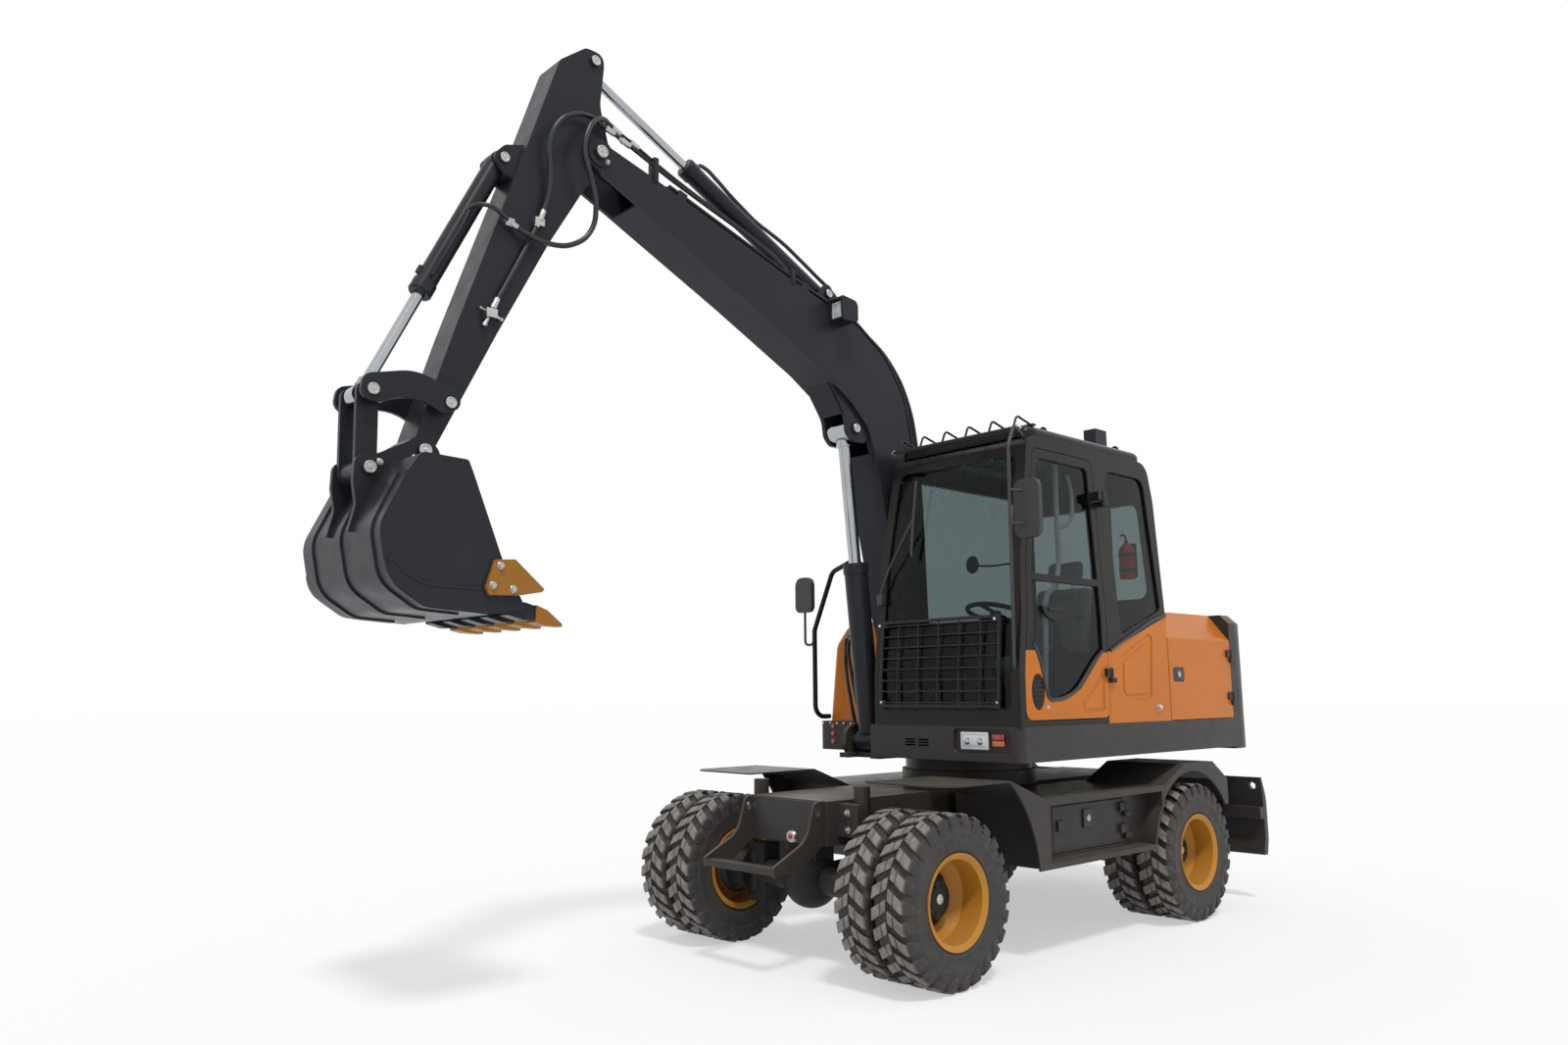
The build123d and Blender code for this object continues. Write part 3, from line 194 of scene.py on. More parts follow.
# %% Paints
DUST = (0.30, 0.27, 0.22, 1)
FITTING_BLACK = (0.016, 0.016, 0.017, 1)
PAINT_SHINE = 0.18
BROAD_TONE = 1.7
SCUFFS = 14.0
DUST_PATCHES = 3.0
POLISH = 9.0
ORANGE_PEEL = 260.0
WORN_EDGE = 0.004
HUB_FADE = 0.002
FACE_FADE = 0.001
NOISE_LOW = 0.3
NOISE_HIGH = 0.7


def own_metres(tree):
    """A piece's own coordinates, in metres."""
    return tree.nodes.new("ShaderNodeTexCoord").outputs["Object"]


def noise(tree, coordinates, scale, detail):
    """A noise pattern in the piece's own metres."""
    node = tree.nodes.new("ShaderNodeTexNoise")
    node.inputs["Scale"].default_value = scale
    node.inputs["Detail"].default_value = detail
    join(tree, coordinates, node.inputs["Vector"])
    return node.outputs["Fac"]


def ranged(tree, value, low, high, to_low, to_high):
    """A value moved from one range to another and held there."""
    node = tree.nodes.new("ShaderNodeMapRange")
    node.inputs["From Min"].default_value = low
    node.inputs["From Max"].default_value = high
    node.inputs["To Min"].default_value = to_low
    node.inputs["To Max"].default_value = to_high
    join(tree, value, node.inputs["Value"])
    return node.outputs["Result"]


def patches(tree, coordinates, scale, detail, low, high):
    """A noise pattern that runs from a low value to a high one."""
    return ranged(tree, noise(tree, coordinates, scale, detail), NOISE_LOW, NOISE_HIGH, low, high)


def times(tree, first, second):
    """Two values multiplied."""
    node = tree.nodes.new("ShaderNodeMath")
    node.operation = "MULTIPLY"
    for socket, value in zip(node.inputs, (first, second)):
        if isinstance(value, float):
            socket.default_value = value
        else:
            join(tree, value, socket)
    return node.outputs[0]


def mixed(tree, share, first, second):
    """Two colours mixed by a share; a colour is a tuple or a socket."""
    node = tree.nodes.new("ShaderNodeMix")
    node.data_type = "RGBA"
    join(tree, share, node.inputs["Factor"])
    for socket, value in zip((node.inputs[6], node.inputs[7]), (first, second)):
        if isinstance(value, tuple):
            socket.default_value = value
        else:
            join(tree, value, socket)
    return node.outputs[2]


def rippled(tree, shader, height, strength, depth, normal=None):
    """A fine relief on a surface, over its own normal or a rounded one."""
    bump = tree.nodes.new("ShaderNodeBump")
    bump.inputs["Strength"].default_value = strength
    bump.inputs["Distance"].default_value = depth
    join(tree, height, bump.inputs["Height"])
    if normal is not None:
        join(tree, normal, bump.inputs["Normal"])
    join(tree, bump.outputs[0], shader.inputs["Normal"])


def edge_mask(tree, radius):
    """Near one along an outer edge, from how far a rounded normal turns from the true one."""
    rounded = tree.nodes.new("ShaderNodeBevel")
    rounded.samples = 4
    rounded.inputs["Radius"].default_value = radius
    plain = tree.nodes.new("ShaderNodeNewGeometry")
    dot = tree.nodes.new("ShaderNodeVectorMath")
    dot.operation = "DOT_PRODUCT"
    join(tree, rounded.outputs["Normal"], dot.inputs[0])
    join(tree, plain.outputs["Normal"], dot.inputs[1])
    return ranged(tree, dot.outputs["Value"], 0.99, 0.75, 0.0, 1.0), rounded.outputs["Normal"]


def facing_up(tree):
    """How far a face looks up, from zero to one."""
    plain = tree.nodes.new("ShaderNodeNewGeometry")
    split = tree.nodes.new("ShaderNodeSeparateXYZ")
    join(tree, plain.outputs["Normal"], split.inputs[0])
    return ranged(tree, split.outputs["Z"], 0.2, 1.0, 0.0, 1.0)


def from_axle(tree, coordinates, axle_x, axle_z):
    """The distance from a wheel's axle, seen from the side."""
    split = tree.nodes.new("ShaderNodeSeparateXYZ")
    join(tree, coordinates, split.inputs[0])
    flat = tree.nodes.new("ShaderNodeCombineXYZ")
    join(tree, split.outputs["X"], flat.inputs["X"])
    join(tree, split.outputs["Z"], flat.inputs["Z"])
    far = tree.nodes.new("ShaderNodeVectorMath")
    far.operation = "DISTANCE"
    far.inputs[1].default_value = (axle_x, 0, axle_z)
    join(tree, flat.outputs[0], far.inputs[0])
    return far.outputs["Value"]


def shade(colour, factor):
    """A colour made lighter or darker."""
    return tuple(min(1.0, c * factor) for c in colour[:3]) + (1,)


def proud_of(tree, coordinates, face_y):
    """One for what stands out past a side face, left or right, and zero for the rest."""
    split = tree.nodes.new("ShaderNodeSeparateXYZ")
    join(tree, coordinates, split.inputs[0])
    out = tree.nodes.new("ShaderNodeMath")
    out.operation = "ABSOLUTE"
    join(tree, split.outputs["Y"], out.inputs[0])
    return ranged(tree, out.outputs[0], face_y, face_y + FACE_FADE, 0, 1)


def paint(name, colour, roughness, dust, wear, worn=None, hub=None, hinges=None):
    """Painted steel with tone, dust, edge wear and a ripple; a wheel's hub or a door's hinges go black."""
    material, tree, shader = new_material(name)
    metres = own_metres(tree)
    broad = patches(tree, metres, BROAD_TONE, 3, 0, 1)
    tone = mixed(tree, broad, shade(colour, 0.93), shade(colour, 1.07))
    if hub:
        axle_x, axle_z, radius = hub
        far = from_axle(tree, metres, axle_x, axle_z)
        tone = mixed(tree, ranged(tree, far, radius, radius + HUB_FADE, 1, 0), tone, FITTING_BLACK)
    if hinges:
        tone = mixed(tree, proud_of(tree, metres, hinges), tone, FITTING_BLACK)
    edges, normal = edge_mask(tree, WORN_EDGE)
    patchy = ranged(tree, noise(tree, metres, SCUFFS, 5), 0.42, 0.62, 0, 1)
    scuffed = times(tree, times(tree, edges, patchy), wear)
    tone = mixed(tree, scuffed, tone, worn or shade(colour, 2.2))
    settled = times(tree, facing_up(tree), patches(tree, metres, DUST_PATCHES, 8, 0.55, 1))
    tone = mixed(tree, times(tree, settled, dust), tone, DUST)
    join(tree, tone, shader.inputs["Base Color"])
    smooth, rough = roughness * 0.85, min(1, roughness * 1.25)
    join(tree, patches(tree, metres, POLISH, 4, smooth, rough), shader.inputs["Roughness"])
    shader.inputs["Specular IOR Level"].default_value = PAINT_SHINE
    rippled(tree, shader, noise(tree, metres, ORANGE_PEEL, 2), 0.015, 0.002, normal)
    return material


AXLE_FRONT = 0.451
AXLE_REAR = -2.014
AXLE_Z = 0.431
HUB_RADIUS = 0.147
SIDE_FACE = 1.0325
OCHRE = (0.46, 0.21, 0.028, 1)
charcoal = paint("charcoal_paint", (0.042, 0.038, 0.034, 1), 0.36, dust=0.2, wear=0.4)
cab_black = paint("cab_paint", (0.013, 0.012, 0.011, 1), 0.26, dust=0.12, wear=0.4,
                  worn=(0.09, 0.085, 0.08, 1))
amber = paint("amber_paint", (0.52, 0.152, 0.013, 1), 0.22, dust=0.05, wear=0.2,
              worn=(0.75, 0.40, 0.16, 1), hinges=SIDE_FACE)
black = paint("black_paint", (0.017, 0.020, 0.025, 1), 0.32, dust=0.10, wear=0.5,
              worn=(0.11, 0.115, 0.125, 1))
ochre = paint("ochre_paint", (0.30, 0.130, 0.022, 1), 0.36, dust=0.10, wear=0.35,
              worn=(0.55, 0.36, 0.16, 1))
front_wheel = paint("front_wheel_paint", OCHRE, 0.33, dust=0.1, wear=0.3,
                    hub=(AXLE_FRONT, AXLE_Z, HUB_RADIUS))
rear_wheel = paint("rear_wheel_paint", OCHRE, 0.33, dust=0.1, wear=0.3,
                   hub=(AXLE_REAR, AXLE_Z, HUB_RADIUS))
cast = paint("cast_paint", (0.020, 0.020, 0.021, 1), 0.5, dust=0.3, wear=0.4)
signal_red = paint("signal_red_paint", (0.75, 0.026, 0.018, 1), 0.25, dust=0.05, wear=0.2)
print("paints", [finish.name for finish in (charcoal, cab_black, amber, black, ochre, cast, signal_red)])

# %% [markdown]
# The other finishes follow one by one: hard chrome on the cylinder rods, zinc on bolts and fittings,
# rubber that is dusty on its tips, its tread made paler still by painted light, tinted glass that lets light
# into the cab, grey woven cloth, moulded plastic and hose rubber. Each is one short function, because its
# pattern belongs to that material alone.

# %% Chrome, rubber, glass, cloth and plastic
TREAD_START = 0.418
TREAD_FULL = 0.429
# The tread's colour is pale dust, painted paler than dust alone to stand in for light falling on the tread.
TREAD_DUST_AND_LIGHT = (0.265, 0.245, 0.225, 1)
LUG_EDGE = 0.006
LUG_EDGE_DUST = (0.24, 0.215, 0.19, 1)
GLASS_BEND = 1.2


def metal_finish(name, dark, light, smooth, rough):
    """Bare metal that varies in tone and polish."""
    material, tree, shader = new_material(name)
    metres = own_metres(tree)
    join(tree, mixed(tree, noise(tree, metres, 3.0, 3), dark, light), shader.inputs["Base Color"])
    shader.inputs["Metallic"].default_value = 1.0
    join(tree, patches(tree, metres, 40.0, 5, smooth, rough), shader.inputs["Roughness"])
    return material


def rubber_finish():
    """Tyre rubber, brown-grey, dusty along what stands proud; the tread's dust is painted paler as light."""
    material, tree, shader = new_material("tyre_rubber")
    metres = own_metres(tree)
    base = mixed(tree, noise(tree, metres, 5.0, 4), (0.024, 0.022, 0.020, 1), (0.042, 0.038, 0.034, 1))
    past_front = ranged(tree, from_axle(tree, metres, AXLE_FRONT, AXLE_Z), TREAD_START, TREAD_FULL, 0.0, 1.0)
    near_rear = ranged(tree, from_axle(tree, metres, AXLE_REAR, AXLE_Z), TREAD_START, TREAD_FULL, 1.0, 0.0)
    # A rear tyre is far from the front axle too, so all that is near the rear axle is taken off again.
    outer = tree.nodes.new("ShaderNodeMath")
    outer.operation = "SUBTRACT"
    join(tree, past_front, outer.inputs[0])
    join(tree, near_rear, outer.inputs[1])
    tread = times(tree, outer.outputs[0], patches(tree, metres, 18.0, 5, 0.45, 1.0))
    # The tread is mixed to pale dust that is partly painted light, paler than the dust alone would be.
    tone = mixed(tree, tread, base, TREAD_DUST_AND_LIGHT)
    edges, normal = edge_mask(tree, LUG_EDGE)
    dusty = times(tree, edges, ranged(tree, noise(tree, metres, 22.0, 5), 0.35, 0.65, 0.2, 0.75))
    join(tree, mixed(tree, dusty, tone, LUG_EDGE_DUST), shader.inputs["Base Color"])
    join(tree, patches(tree, metres, 30.0, 3, 0.55, 0.8), shader.inputs["Roughness"])
    rippled(tree, shader, noise(tree, metres, 180.0, 4), 0.15, 0.002, normal)
    return material


def glass_finish(name, tint):
    """Tinted safety glass that lamps shine through."""
    material, tree, shader = new_material(name)
    shader.inputs["Base Color"].default_value = tint
    shader.inputs["Transmission Weight"].default_value = 1.0
    shader.inputs["IOR"].default_value = GLASS_BEND
    shader.inputs["Roughness"].default_value = 0.0
    clear = tree.nodes.new("ShaderNodeBsdfTransparent")
    clear.inputs["Color"].default_value = tint
    rays = tree.nodes.new("ShaderNodeLightPath")
    mix = tree.nodes.new("ShaderNodeMixShader")
    join(tree, rays.outputs["Is Shadow Ray"], mix.inputs["Fac"])
    join(tree, shader.outputs[0], mix.inputs[1])
    join(tree, clear.outputs[0], mix.inputs[2])
    join(tree, mix.outputs[0], tree.nodes["Material Output"].inputs["Surface"])
    return material


def cloth_finish():
    """Grey woven seat cloth."""
    material, tree, shader = new_material("seat_cloth")
    weave = tree.nodes.new("ShaderNodeTexWave")
    weave.inputs["Scale"].default_value = 160.0
    weave.inputs["Distortion"].default_value = 2.0
    join(tree, own_metres(tree), weave.inputs["Vector"])
    tone = mixed(tree, weave.outputs["Fac"], (0.20, 0.20, 0.205, 1), (0.30, 0.30, 0.305, 1))
    join(tree, tone, shader.inputs["Base Color"])
    shader.inputs["Roughness"].default_value = 0.9
    shader.inputs["Sheen Weight"].default_value = 0.3
    rippled(tree, shader, weave.outputs["Fac"], 0.3, 0.001)
    return material


def plastic_finish(name, colour, roughness, grain):
    """Moulded plastic or rubber with a fine grain."""
    material, tree, shader = new_material(name)
    metres = own_metres(tree)
    tone = mixed(tree, noise(tree, metres, 6.0, 3), shade(colour, 0.85), shade(colour, 1.15))
    join(tree, tone, shader.inputs["Base Color"])
    gloss = patches(tree, metres, 30, 3, roughness * 0.9, roughness * 1.1)
    join(tree, gloss, shader.inputs["Roughness"])
    rippled(tree, shader, noise(tree, metres, 900.0, 2), grain, 0.0006)
    return material


chrome = metal_finish("hard_chrome", (0.34, 0.36, 0.38, 1), (0.48, 0.50, 0.52, 1), 0.10, 0.24)
zinc = metal_finish("zinc_plate", (0.40, 0.40, 0.39, 1), (0.58, 0.58, 0.57, 1), 0.25, 0.45)
rubber = rubber_finish()
glass = glass_finish("tinted_glass", (0.31, 0.36, 0.365, 1))
cloth = cloth_finish()
plastic = plastic_finish("trim_plastic", (0.030, 0.030, 0.032, 1), 0.5, 0.2)
hose_rubber = plastic_finish("hose_rubber", (0.012, 0.012, 0.014, 1), 0.34, 0.3)
grey_enamel = plastic_finish("grey_enamel", (0.72, 0.72, 0.73, 1), 0.35, 0.05)
lens = plastic_finish("lamp_lens", (0.75, 0.76, 0.75, 1), 0.12, 0.0)

FINISH_OF_SLOT = {
    "dark_paint": charcoal, "orange_paint": amber, "black_paint": black, "gold_paint": ochre,
    "chrome": chrome, "cast_metal": cast, "tyre": rubber, "glass": glass, "fabric": cloth,
    "plastic": plastic, "lamp": lens,
}
slot_of_node = {part["node"]: part["material_slot"] for part in frame["record"]["subparts"]}
for node_name, node in frame["nodes"].items():
    node.data.materials.clear()
    node.data.materials.append(FINISH_OF_SLOT[slot_of_node[node_name]])
frame["nodes"]["mirrors"].data.materials[0] = plastic
for node_name in ("cab_frame", "cab_roof", "cab_door", "handrail"):
    frame["nodes"][node_name].data.materials[0] = cab_black
for side in ("left", "right"):
    frame["nodes"]["rim_front_" + side].data.materials[0] = front_wheel
    frame["nodes"]["rim_rear_" + side].data.materials[0] = rear_wheel
print("finishes given to", len(slot_of_node), "nodes")

# %% [markdown]
# The small pieces are modelled by hand in edit mode. A few helpers do what a modeller's hands do: let go
# of everything, pick some faces, turn a profile on a lathe, mill a block, bend a hose along a curve, and
# copy a finished piece to many places. Drawing sizes are in millimetres from the swing axis, which lies
# one metre behind the frame's origin, so place() turns them into the frame's metres.

# %% Modelling helpers
AXIS_BACK = 1
TOUCHING = 0.00002
NEAR = 0.001
CRISP = 30
SOFT_EDGE = 40
ROUND_BAR = 60


def place(x, y, z):
    """A point given in millimetres from the swing axis, in the frame's metres."""
    return Vector((x / 1000 - AXIS_BACK, y / 1000, z / 1000))


def let_go():
    """Object mode, with nothing selected."""
    if bpy.context.mode != "OBJECT":
        bpy.ops.object.mode_set(mode="OBJECT")
    bpy.ops.object.select_all(action="DESELECT")


def hold(piece):
    """Makes one piece the only one selected."""
    let_go()
    piece.select_set(True)
    bpy.context.view_layer.objects.active = piece


def pick(piece, kind, test):
    """Edit mode with just the faces or points that pass a test selected."""
    hold(piece)
    bpy.ops.object.mode_set(mode="EDIT")
    bpy.ops.mesh.select_mode(type=kind)
    bpy.ops.mesh.select_all(action="DESELECT")
    bpy.ops.object.mode_set(mode="OBJECT")
    items = piece.data.polygons if kind == "FACE" else piece.data.vertices
    for item in items:
        item.select = test(item)
    bpy.ops.object.mode_set(mode="EDIT")


def turned(name, profile, steps):
    """A piece turned about the Y axis from radius and Y values in millimetres."""
    let_go()
    bpy.ops.mesh.primitive_plane_add(size=0.01)
    piece = bpy.context.object
    piece.name = name
    bpy.ops.object.mode_set(mode="EDIT")
    bpy.ops.mesh.select_mode(type="VERT")
    bpy.ops.mesh.select_all(action="SELECT")
    bpy.ops.mesh.merge(type="CENTER")
    bpy.ops.transform.translate(value=(profile[0][0] / 1000, profile[0][1] / 1000, 0))
    for (r0, y0), (r1, y1) in zip(profile, profile[1:]):
        step = ((r1 - r0) / 1000, (y1 - y0) / 1000, 0)
        bpy.ops.mesh.extrude_vertices_move(TRANSFORM_OT_translate={"value": step})
    bpy.ops.mesh.select_all(action="SELECT")
    bpy.ops.mesh.spin(steps=steps, angle=math.tau, center=(0, 0, 0), axis=(0, 1, 0))
    bpy.ops.mesh.select_all(action="SELECT")
    bpy.ops.mesh.remove_doubles(threshold=TOUCHING)
    bpy.ops.mesh.normals_make_consistent(inside=False)
    bpy.ops.object.mode_set(mode="OBJECT")
    return piece


def milled(name, low, high, rounding, segments=2):
    """A block between two corners in metres, with its edges rounded."""
    let_go()
    low, high = Vector(low), Vector(high)
    bpy.ops.mesh.primitive_cube_add(size=1, location=(low + high) / 2)
    piece = bpy.context.object
    piece.name = name
    piece.scale = high - low
    bpy.ops.object.transform_apply(location=True, rotation=True, scale=True)
    if rounding:
        bpy.ops.object.mode_set(mode="EDIT")
        bpy.ops.mesh.select_all(action="SELECT")
        bpy.ops.mesh.bevel(offset=rounding, segments=segments, affect="EDGES")
        bpy.ops.object.mode_set(mode="OBJECT")
    return piece


def bent(name, points, radius, sides=3, smooth=8):
    """A round hose or rod along a smooth curve through points in metres."""
    curve = bpy.data.curves.new(name, "CURVE")
    curve.dimensions = "3D"
    spline = curve.splines.new("BEZIER")
    spline.bezier_points.add(len(points) - 1)
    for knot, point in zip(spline.bezier_points, points):
        knot.co = point
        knot.handle_left_type = "AUTO"
        knot.handle_right_type = "AUTO"
    curve.bevel_depth = radius
    curve.bevel_resolution = sides
    curve.resolution_u = smooth
    curve.use_fill_caps = True
    piece = bpy.data.objects.new(name, curve)
    bpy.context.collection.objects.link(piece)
    hold(piece)
    bpy.ops.object.convert(target="MESH")
    return bpy.context.object


def joined(name, pieces):
    """Several pieces made one."""
    let_go()
    for piece in pieces:
        piece.select_set(True)
    bpy.context.view_layer.objects.active = pieces[0]
    if len(pieces) > 1:
        bpy.ops.object.join()
    pieces[0].name = name
    return pieces[0]


def copied(piece, move):
    """A copy with its own mesh, moved by a matrix."""
    twin = piece.copy()
    twin.data = piece.data.copy()
    twin.data.transform(move)
    bpy.context.collection.objects.link(twin)
    return twin


def repeated(name, piece, moves):
    """A piece copied to many spots and joined."""
    return joined(name, [copied(piece, move) for move in moves])


def put_away(*pieces):
    """Removes the patterns that copies were made from."""
    for piece in pieces:
        bpy.data.objects.remove(piece)


def settle(piece, body, finish, sharp=CRISP):
    """Gives a piece smooth shading, its finish and the body that it rides on."""
    hold(piece)
    bpy.ops.object.shade_smooth_by_angle(angle=math.radians(sharp))
    piece.data.materials.clear()
    piece.data.materials.append(finish)
    if body:
        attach(piece, body)
    return piece


def spot(point, way=1, scale=1.0):
    """A place for a copy that points along +Y, or along -Y for the machine's right."""
    turn = Matrix.Identity(4) if way > 0 else Matrix.Rotation(math.pi, 4, "Z")
    return Matrix.Translation(point) @ turn @ Matrix.Scale(scale, 4)


def aimed(point, direction, scale=1.0):
    """A place for a copy that points along any direction."""
    turn = Vector((0, 1, 0)).rotation_difference(Vector(direction)).to_matrix().to_4x4()
    return Matrix.Translation(point) @ turn @ Matrix.Scale(scale, 4)


print("helpers ready")

# %% [markdown]
# The tyres carry the look of the whole machine. A real traction tyre has a rounded carcass with a rib
# round its sidewall and two rows of slanting lugs that wrap over the shoulder. The carcass is turned on
# the lathe. One lug starts as a block: its outer face is pushed sideways, drawn out over the shoulder and
# down the wall, a groove is pressed across it, and its edges are broken. The lug is then copied round in
# two rows, the second half a pitch behind.

# %% Tyres
LUGS_A_ROW = 26
LUG_SLANT = 0.050
LUG_TOP = 0.4285
GROOVE_Y = 0.040
GROOVE_HALF = 0.006
GROOVE_DEPTH = 0.011
BROKEN_EDGE = 0.0028
TWIN_Y = (0.695, 0.945)

wall = [
    (228, 94.9), (238, 99), (250, 103.5), (254, 107.5), (262, 107.5), (266, 106), (300, 111.5), (328, 113),
    (332, 114), (338, 114), (342, 112.5), (378, 107), (396, 101), (405, 92), (407, 60), (407.5, 20),
]
carcass_line = [(r, -y) for r, y in wall] + [(r, y) for r, y in reversed(wall)] + [(228, -94.9)]
carcass = turned("tyre_carcass", carcass_line, 104)

lug = milled("tread_lug", (-0.054, 0.005, 0.398), (0.004, 0.092, LUG_TOP), 0)
pick(lug, "FACE", lambda face: face.normal.y > 0.9)
bpy.ops.transform.translate(value=(LUG_SLANT, 0, 0))
bpy.ops.mesh.extrude_region_move(TRANSFORM_OT_translate={"value": (0.006, 0.017, -0.017)})
bpy.ops.mesh.extrude_region_move(TRANSFORM_OT_translate={"value": (0.003, 0.004, -0.036)})
bpy.ops.transform.resize(value=(0.78, 1, 1))
for groove_y in (GROOVE_Y - GROOVE_HALF, GROOVE_Y, GROOVE_Y + GROOVE_HALF):
    bpy.ops.mesh.select_all(action="SELECT")
    bpy.ops.mesh.bisect(plane_co=(0, groove_y, 0), plane_no=(0, 1, 0))
pick(lug, "VERT", lambda point: abs(point.co.y - GROOVE_Y) < NEAR and point.co.z > LUG_TOP - NEAR)
bpy.ops.transform.translate(value=(0, 0, -GROOVE_DEPTH))
bpy.ops.mesh.select_all(action="SELECT")
bpy.ops.mesh.bevel(offset=BROKEN_EDGE, segments=1, affect="EDGES")
bpy.ops.object.mode_set(mode="OBJECT")

across = Matrix.Scale(-1, 4, (0, 1, 0))
pitch = math.tau / LUGS_A_ROW
rows = [Matrix.Rotation(k * pitch, 4, "Y") for k in range(LUGS_A_ROW)]
rows += [Matrix.Rotation((k + 0.5) * pitch, 4, "Y") @ across for k in range(LUGS_A_ROW)]
tread = repeated("tread", lug, rows)
one_tyre = joined("one_tyre", [carcass, tread])
hold(one_tyre)
bpy.ops.object.mode_set(mode="EDIT")
bpy.ops.mesh.select_all(action="SELECT")
bpy.ops.mesh.normals_make_consistent(inside=False)
bpy.ops.object.mode_set(mode="OBJECT")

CORNERS = {
    "front_left": (AXLE_FRONT, 1), "front_right": (AXLE_FRONT, -1),
    "rear_left": (AXLE_REAR, 1), "rear_right": (AXLE_REAR, -1),
}
for corner, (axle_x, way) in CORNERS.items():
    twins = [Matrix.Translation((axle_x, way * y, AXLE_Z)) for y in TWIN_Y]
    tyre_pair = repeated("twin_tyres_" + corner, one_tyre, twins)
    settle(tyre_pair, "wheel_" + corner, rubber)
    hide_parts("tyre_" + corner)
print("tyre faces", len(one_tyre.data.polygons))
put_away(lug, one_tyre)

# %% [markdown]
# Bolts hold the wheels on. A nut is six-sided, so it is turned in six steps, with a round washer under
# it. The hub has a ring of nuts on the disc, a ring of small screws on its cover and a bright cap in the
# middle.

# %% Wheel nuts and hub caps
nut_head = turned("nut_head", [(0, 20), (6, 20), (8, 17), (14, 17), (16, 15), (16, 3), (0, 3)], 6)
nut_washer = turned("nut_washer", [(0, 4), (19, 4), (21, 2.5), (21, 0), (0, 0)], 16)
nut = joined("nut", [nut_head, nut_washer])
cap = turned("cap", [(0, 10), (10, 10), (12, 8), (22, 7.5), (26, 5), (28, 0), (0, 0)], 28)
CAP_Y = 0.926


def bolt_circle(count, radius, y, start, scale):
    """Places round a wheel's axle, the first one a share of a pitch on."""
    seat = Matrix.Translation((radius, y, 0)) @ Matrix.Scale(scale, 4)
    return [Matrix.Rotation((k + start) * math.tau / count, 4, "Y") @ seat for k in range(count)]


disc_nuts = bolt_circle(count=10, radius=0.122, y=0.850, start=0, scale=1.0)
cover_screws = bolt_circle(count=8, radius=0.066, y=0.922, start=0.5, scale=0.5)
for corner, (axle_x, way) in CORNERS.items():
    hub = spot(Vector((axle_x, 0, AXLE_Z)), way)
    nuts = repeated("wheel_nuts_" + corner, nut, [hub @ turn for turn in disc_nuts + cover_screws])
    settle(nuts, "wheel_" + corner, cast)
    hub_cap = repeated("hub_cap_" + corner, cap, [hub @ Matrix.Translation((0, CAP_Y, 0))])
    settle(hub_cap, "wheel_" + corner, zinc)
print("nuts and caps on", len(CORNERS), "wheels")

# %% [markdown]
# Every joint of the boom turns on a steel pin with a bright end, kept from turning by a bolt beside it.
# One pin end is turned with a recess and a grease nipple's seat, and copied to both sides of each joint,
# on the body that carries it. A weld bead runs along the bucket's skirt, bent like a thin rod.

# %% Pin ends, keeper bolts and weld beads
BOOM_Y = -250
BEAD_HALF = 442
BEAD_R = 0.006
PINS = {
    "boom": [(2865, 4350, 157, 1.2), (880, 3144, 124, 1.0), (1085, 4005, 96, 0.9)],
    "arm": [(2890, 4885, 118, 0.95), (3680, 2819, 168, 0.95), (3403, 4162, 92, 0.9)],
    "bucket": [(3788, 2580, 150, 1.05), (4041, 2469, 150, 1.0)],
    "rocker": [(4050, 2820, 168, 0.95)],
    "upper": [(280, 1500, 172, 1.15), (665, 1165, 172, 1.1)],
}
KEEPERS = {
    "boom": [(2822, 4308, 145, 0.7)],
    "bucket": [(3830, 2540, 136, 0.75), (3992, 2500, 136, 0.75)],
}
CUTTER_BOLTS = [(3555, 2036, 457, 0.85), (3590, 1947, 457, 0.85), (3490, 1934, 457, 0.85)]
SKIRT = [
    (4066, 2025), (4040, 2023), (4016, 2006), (4000, 1983), (3960, 1962), (3904, 1938), (3840, 1932),
    (3640, 1927),
]


def both_sides(seats):
    """Places left and right of the boom's middle plane, each from its x, z, half width and scale."""
    places = []
    for x, z, half, scale in seats:
        places += [spot(place(x, BOOM_Y + way * half, z), way, scale) for way in (-1, 1)]
    return places


pin_end = turned(
    "pin_end", [(0, 9), (5, 9), (7, 5), (20, 5), (22, 8), (27, 8), (29, 6), (29, -2), (0, -2)], 28)
for body, pins in PINS.items():
    settle(repeated("pin_ends_" + body, pin_end, both_sides(pins)), body, zinc)
for body, bolts in KEEPERS.items():
    settle(repeated("keeper_bolts_" + body, nut, both_sides(bolts)), body, zinc)
settle(repeated("cutter_bolts", nut, both_sides(CUTTER_BOLTS)), "bucket", zinc)
for side, way in (("left", 1), ("right", -1)):
    bead = bent("skirt_bead_" + side, [place(x, BOOM_Y + way * BEAD_HALF, z) for x, z in SKIRT], BEAD_R)
    settle(bead, "bucket", black, ROUND_BAR)
print("pin ends on", list(PINS))

# %% [markdown]
# Hydraulic hoses are round rubber with crimped steel ends. Two of them loop from the boom's pipes over
# the joint to the arm, each as one smooth curve that rides on no body.
# A short one joins the arm to the bucket cylinder in the same way, and the rest run along what carries
# them.

# %% Hoses on the boom and the arm
HOSE_R = 0.014
THIN_HOSE_R = 0.0125
LINE_R = 0.012
PIPE_R = 0.0105
CURL_PIPE_R = 0.009
FITTING_SCALE = 1.2
CLAMP_ROUND = 0.006
VALVE_ROUND = 0.004
ferrule_line = [
    (0, 46), (9, 46), (10, 44), (10, 30), (15, 30), (15, 16), (13.5, 14), (13.5, -18), (12.5, -20), (0, -20),
]
ferrule = turned("ferrule", ferrule_line, 14)


def hose_between(name, points, radius=HOSE_R):
    """A hose bent along a curve from one body to the next; it rides on no body."""
    piece = bent(name, [place(*p) for p in points], radius)
    settle(piece, None, hose_rubber, ROUND_BAR)
    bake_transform(piece)


def hose_on(name, points, body, radius, finish=hose_rubber):
    """A hose or pipe that rides on one body."""
    settle(bent(name, [place(*p) for p in points], radius), body, finish, ROUND_BAR)


